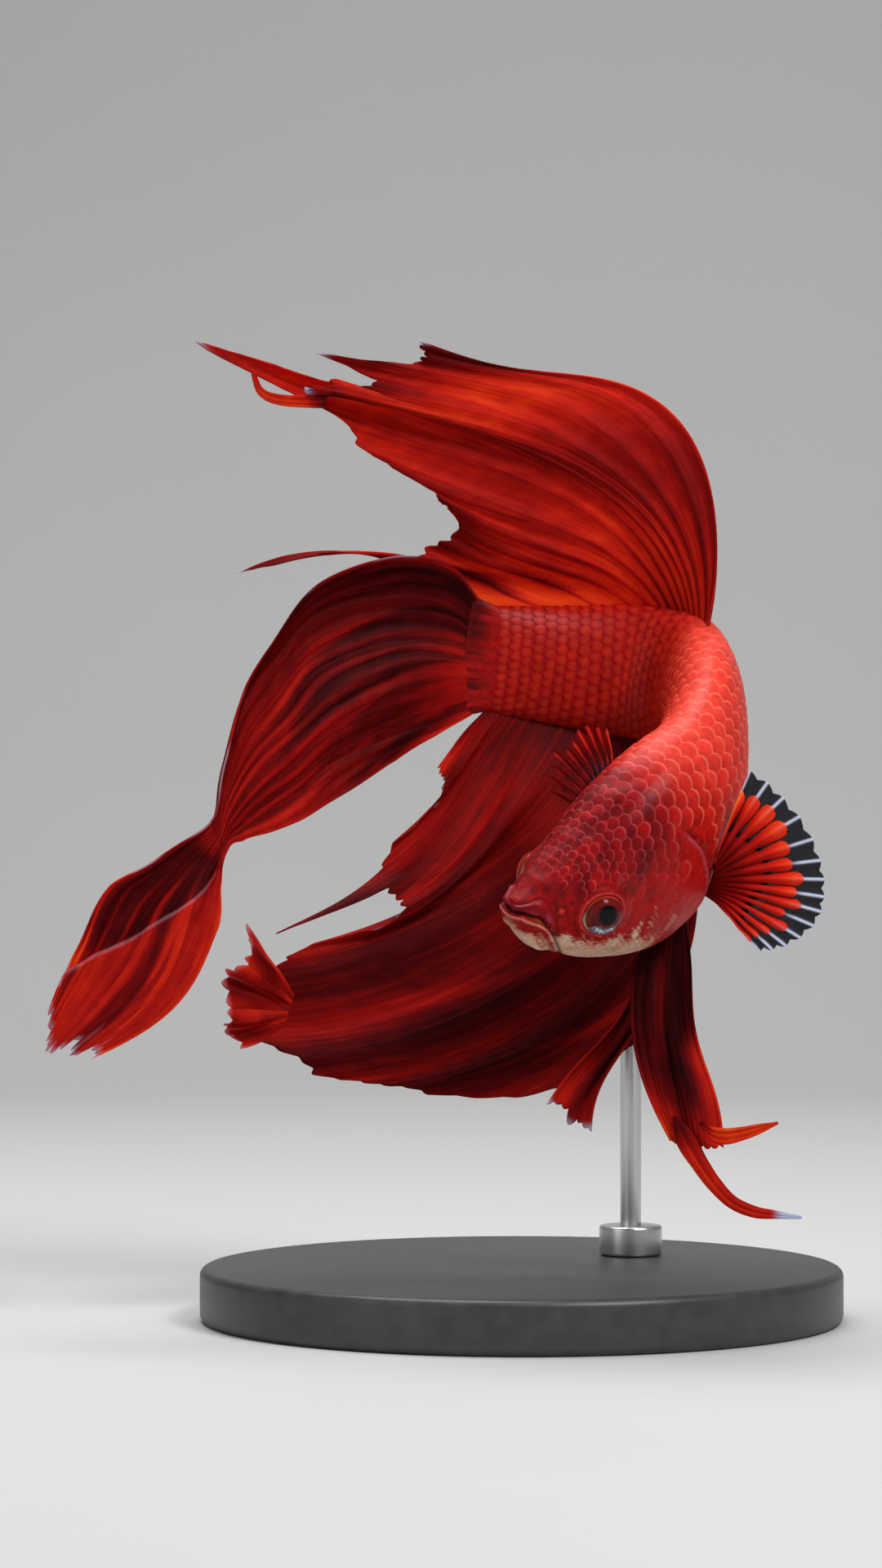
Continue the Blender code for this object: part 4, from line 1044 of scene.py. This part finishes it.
def make_bar(name, node, material, radius, bottom, top, edge, x, y, sides):
    """A round bar with quarter-round edges: its profile carried round an upright axis."""
    swing = linspace(0, math.pi / 2, 6)
    radii = radius - edge + edge * concatenate((sin(swing), cos(swing)))
    heights = concatenate((bottom + edge - edge * cos(swing), top - edge + edge * sin(swing)))
    turn, radii = meshgrid(linspace(0, TAU, sides, endpoint=False), radii)
    points = stack((x + radii * cos(turn), y + radii * sin(turn),
        heights[:, None] * np.ones(sides)), axis=-1)
    number = ring_numbers(len(heights), sides)
    make(name, (node,), material, points,
        [grid_faces(number)[:, ::-1], number[:1, :0:-1], number[-1:, :-1]], {}, sharp=40)


# ---- floor, light and camera ----

def make_room():
    """A pale floor that sweeps up behind, three soft lamps, a pale sky and the camera."""
    swing = linspace(0, math.pi / 2, 16)
    depth = concatenate(([-420], 260 + 160 * sin(swing), [420]))
    height = concatenate(([0], 160 - 160 * cos(swing), [900]))
    y, x = meshgrid(depth, (-800, 800), indexing="ij")
    z = np.broadcast_to(height[:, None], y.shape)
    faces = grid_faces(arange(y.size).reshape(y.shape))[:, ::-1]
    mesh = bpy.data.meshes.new("floor")
    mesh.from_pydata((stack((x, y, z), -1).reshape(-1, 3) * MM).tolist(), [], faces.tolist())
    mesh.shade_smooth()
    mesh.materials.append(plain_material("pale_floor", (0.5, 0.497, 0.49), 0.7, 20, 0.01))
    placed("floor", mesh)

    for name, power, width, place, aim in (("key", 1.35, 0.16, (190, -230, 330), (0, 0, 42)),
            ("over", 1.15, 0.26, (-50, 70, 340), (0, 0, 48)),
            ("fill", 0.22, 0.3, (-320, -260, 150), (0, 0, 40))):
        light = bpy.data.lights.new(name, "AREA")
        light.energy, light.size, light.shape = power, width, "DISK"
        lamp = placed(name, light)
        lamp.location = np.asarray(place) * MM
        way = unit(np.subtract(place, aim))
        lamp.rotation_euler = (math.acos(way[2]), 0, math.atan2(way[1], way[0]) + math.pi / 2)

    world = bpy.data.worlds.new("room")
    bpy.context.scene.world = world
    world.use_nodes = True
    sky = world.node_tree.nodes["Background"].inputs
    sky["Color"].default_value, sky["Strength"].default_value = (0.95, 0.97, 1, 1), 0.26

    lens = bpy.data.cameras.new("camera")
    lens.lens, lens.sensor_width = 109.375, 36
    lens.clip_start, lens.clip_end = 0.01, 10
    camera = placed("camera", lens)
    camera.location = (-0.006, -0.356, 0.04)
    camera.rotation_euler = (math.pi / 2, 0, 0)
    bpy.context.scene.camera = camera
    bpy.context.scene.view_settings.view_transform = "Standard"


# ---- everything ----

BLACK_RED, DARK_RED, MID_RED = (0.03, 0.0008, 0.0012), (0.13, 0.0025, 0.0035), (0.36, 0.006, 0.005)
BRIGHT_RED, FLAME, AMBER = (0.66, 0.019, 0.008), (0.9, 0.075, 0.012), (0.95, 0.15, 0.025)

skin_paint = painted_material("red_skin", 0.46, 0.34, 0.075)
scale_paint = painted_material("red_scales", 0.38, 0.22, 0.085)
eye_paint = painted_material("wet_eye", 0.08, 0.08, 0.12, 5000, 0.000002)
glow_web = web_material("glowing_web", 0.45, 0.34, 0.35, (0, DARK_RED), (0.3, MID_RED),
    (0.55, BRIGHT_RED), (0.8, FLAME), (1, AMBER))
deep_web = web_material("deep_red_web", 0.3, 0.4, 0.2, (0, BLACK_RED), (0.25, DARK_RED),
    (0.5, MID_RED), (0.75, BRIGHT_RED), (1, FLAME))
fan_web = web_material("lobed_web", 0, 0.3, 0.1, (0, (0.004, 0.005, 0.01)), (0.08, DARK_RED),
    (0.3, MID_RED), (0.6, BRIGHT_RED), (0.85, FLAME), (1, AMBER))
plinth = plain_material("satin_base", (0.035, 0.035, 0.038), 0.42, 700, 0.25)
steel = plain_material("brushed_rod", (0.62, 0.62, 0.63), 0.3, 900, 0.12, 1, (1, 1, 0.05))

make_skin(skin_paint)
make_scales("front_scales", scale_paint, 0, 0.5, 5)
make_scales("rear_scales", scale_paint, 0.5, 1, 6)
make_eye("eye_left", 1, (0.075, 0.004, 0.005), eye_paint)
make_eye("eye_right", -1, (0.4, 0.035, 0.015), eye_paint)
make_dorsal(glow_web)
make_streamer("dorsal_streamer_web", "dorsal_streamer", STREAMER_ROUTE, STREAMER_SECTIONS, 90, 0.5, 1.1,
    glow_web)
make_streamer("pelvic_streamer_web", "pelvic_fin_left_streamer", TRAIL_ROUTE, TRAIL_SECTIONS, 120, 0.5,
    0.82, glow_web)
make_streamer("pelvic_tip_web", "pelvic_fin_left_tip", HORN_ROUTE, HORN_SECTIONS, 80, 0.6, 1.1, glow_web)
make_anal(deep_web)
make_anal_corner(glow_web)
make_caudal("caudal_web", "caudal_fin", deep_web, 0, CAUDAL_SPLIT, 260, 170, False)
make_caudal("caudal_lobe_web", "caudal_fin_lobe", deep_web, CAUDAL_SPLIT, 1, 220, 130, True)
make_pectoral("pectoral_web_left", "pectoral_fin_left", flank_line(1, 0.31, 100, 128), PECTORAL_RAYS,
    300, 0.5, 13, 0, 0.8, fan_web)
make_pectoral("pectoral_web_right", "pectoral_fin_right", flank_line(-1, 0.315, 88, 112),
    FAR_PECTORAL_RAYS, 230, 0.333, 9, 0.25, 0, fan_web)
make_small_fan("pelvic_web_left", "pelvic_fin_left", flank_line(1, 0.3, 180, 155), PELVIC_RAYS,
    150, 110, 0.5, 9, 2.5, 0.25, 0, 0.58, 1.1, deep_web)
make_small_fan("pelvic_web_right", "pelvic_fin_right", flank_line(-1, 0.33, 160, 172), FAR_PELVIC_RAYS,
    100, 120, 0.333, 7, 1.8, 0.3, 0.15, 0.45, 0.955, deep_web)
make_bar("base_disc", "stand_base", plinth, 24, 0, 4, 0.6, 0, 0, 160)
make_bar("collar_ring", "stand_collar", steel, 2.4, 4.02, 6.3, 0.25, 8.5, 8.2, 64)
make_bar("rod_bar", "stand_rod", steel, 0.8, 4.02, 46, 0.15, 8.5, 8.2, 40)
make_room()
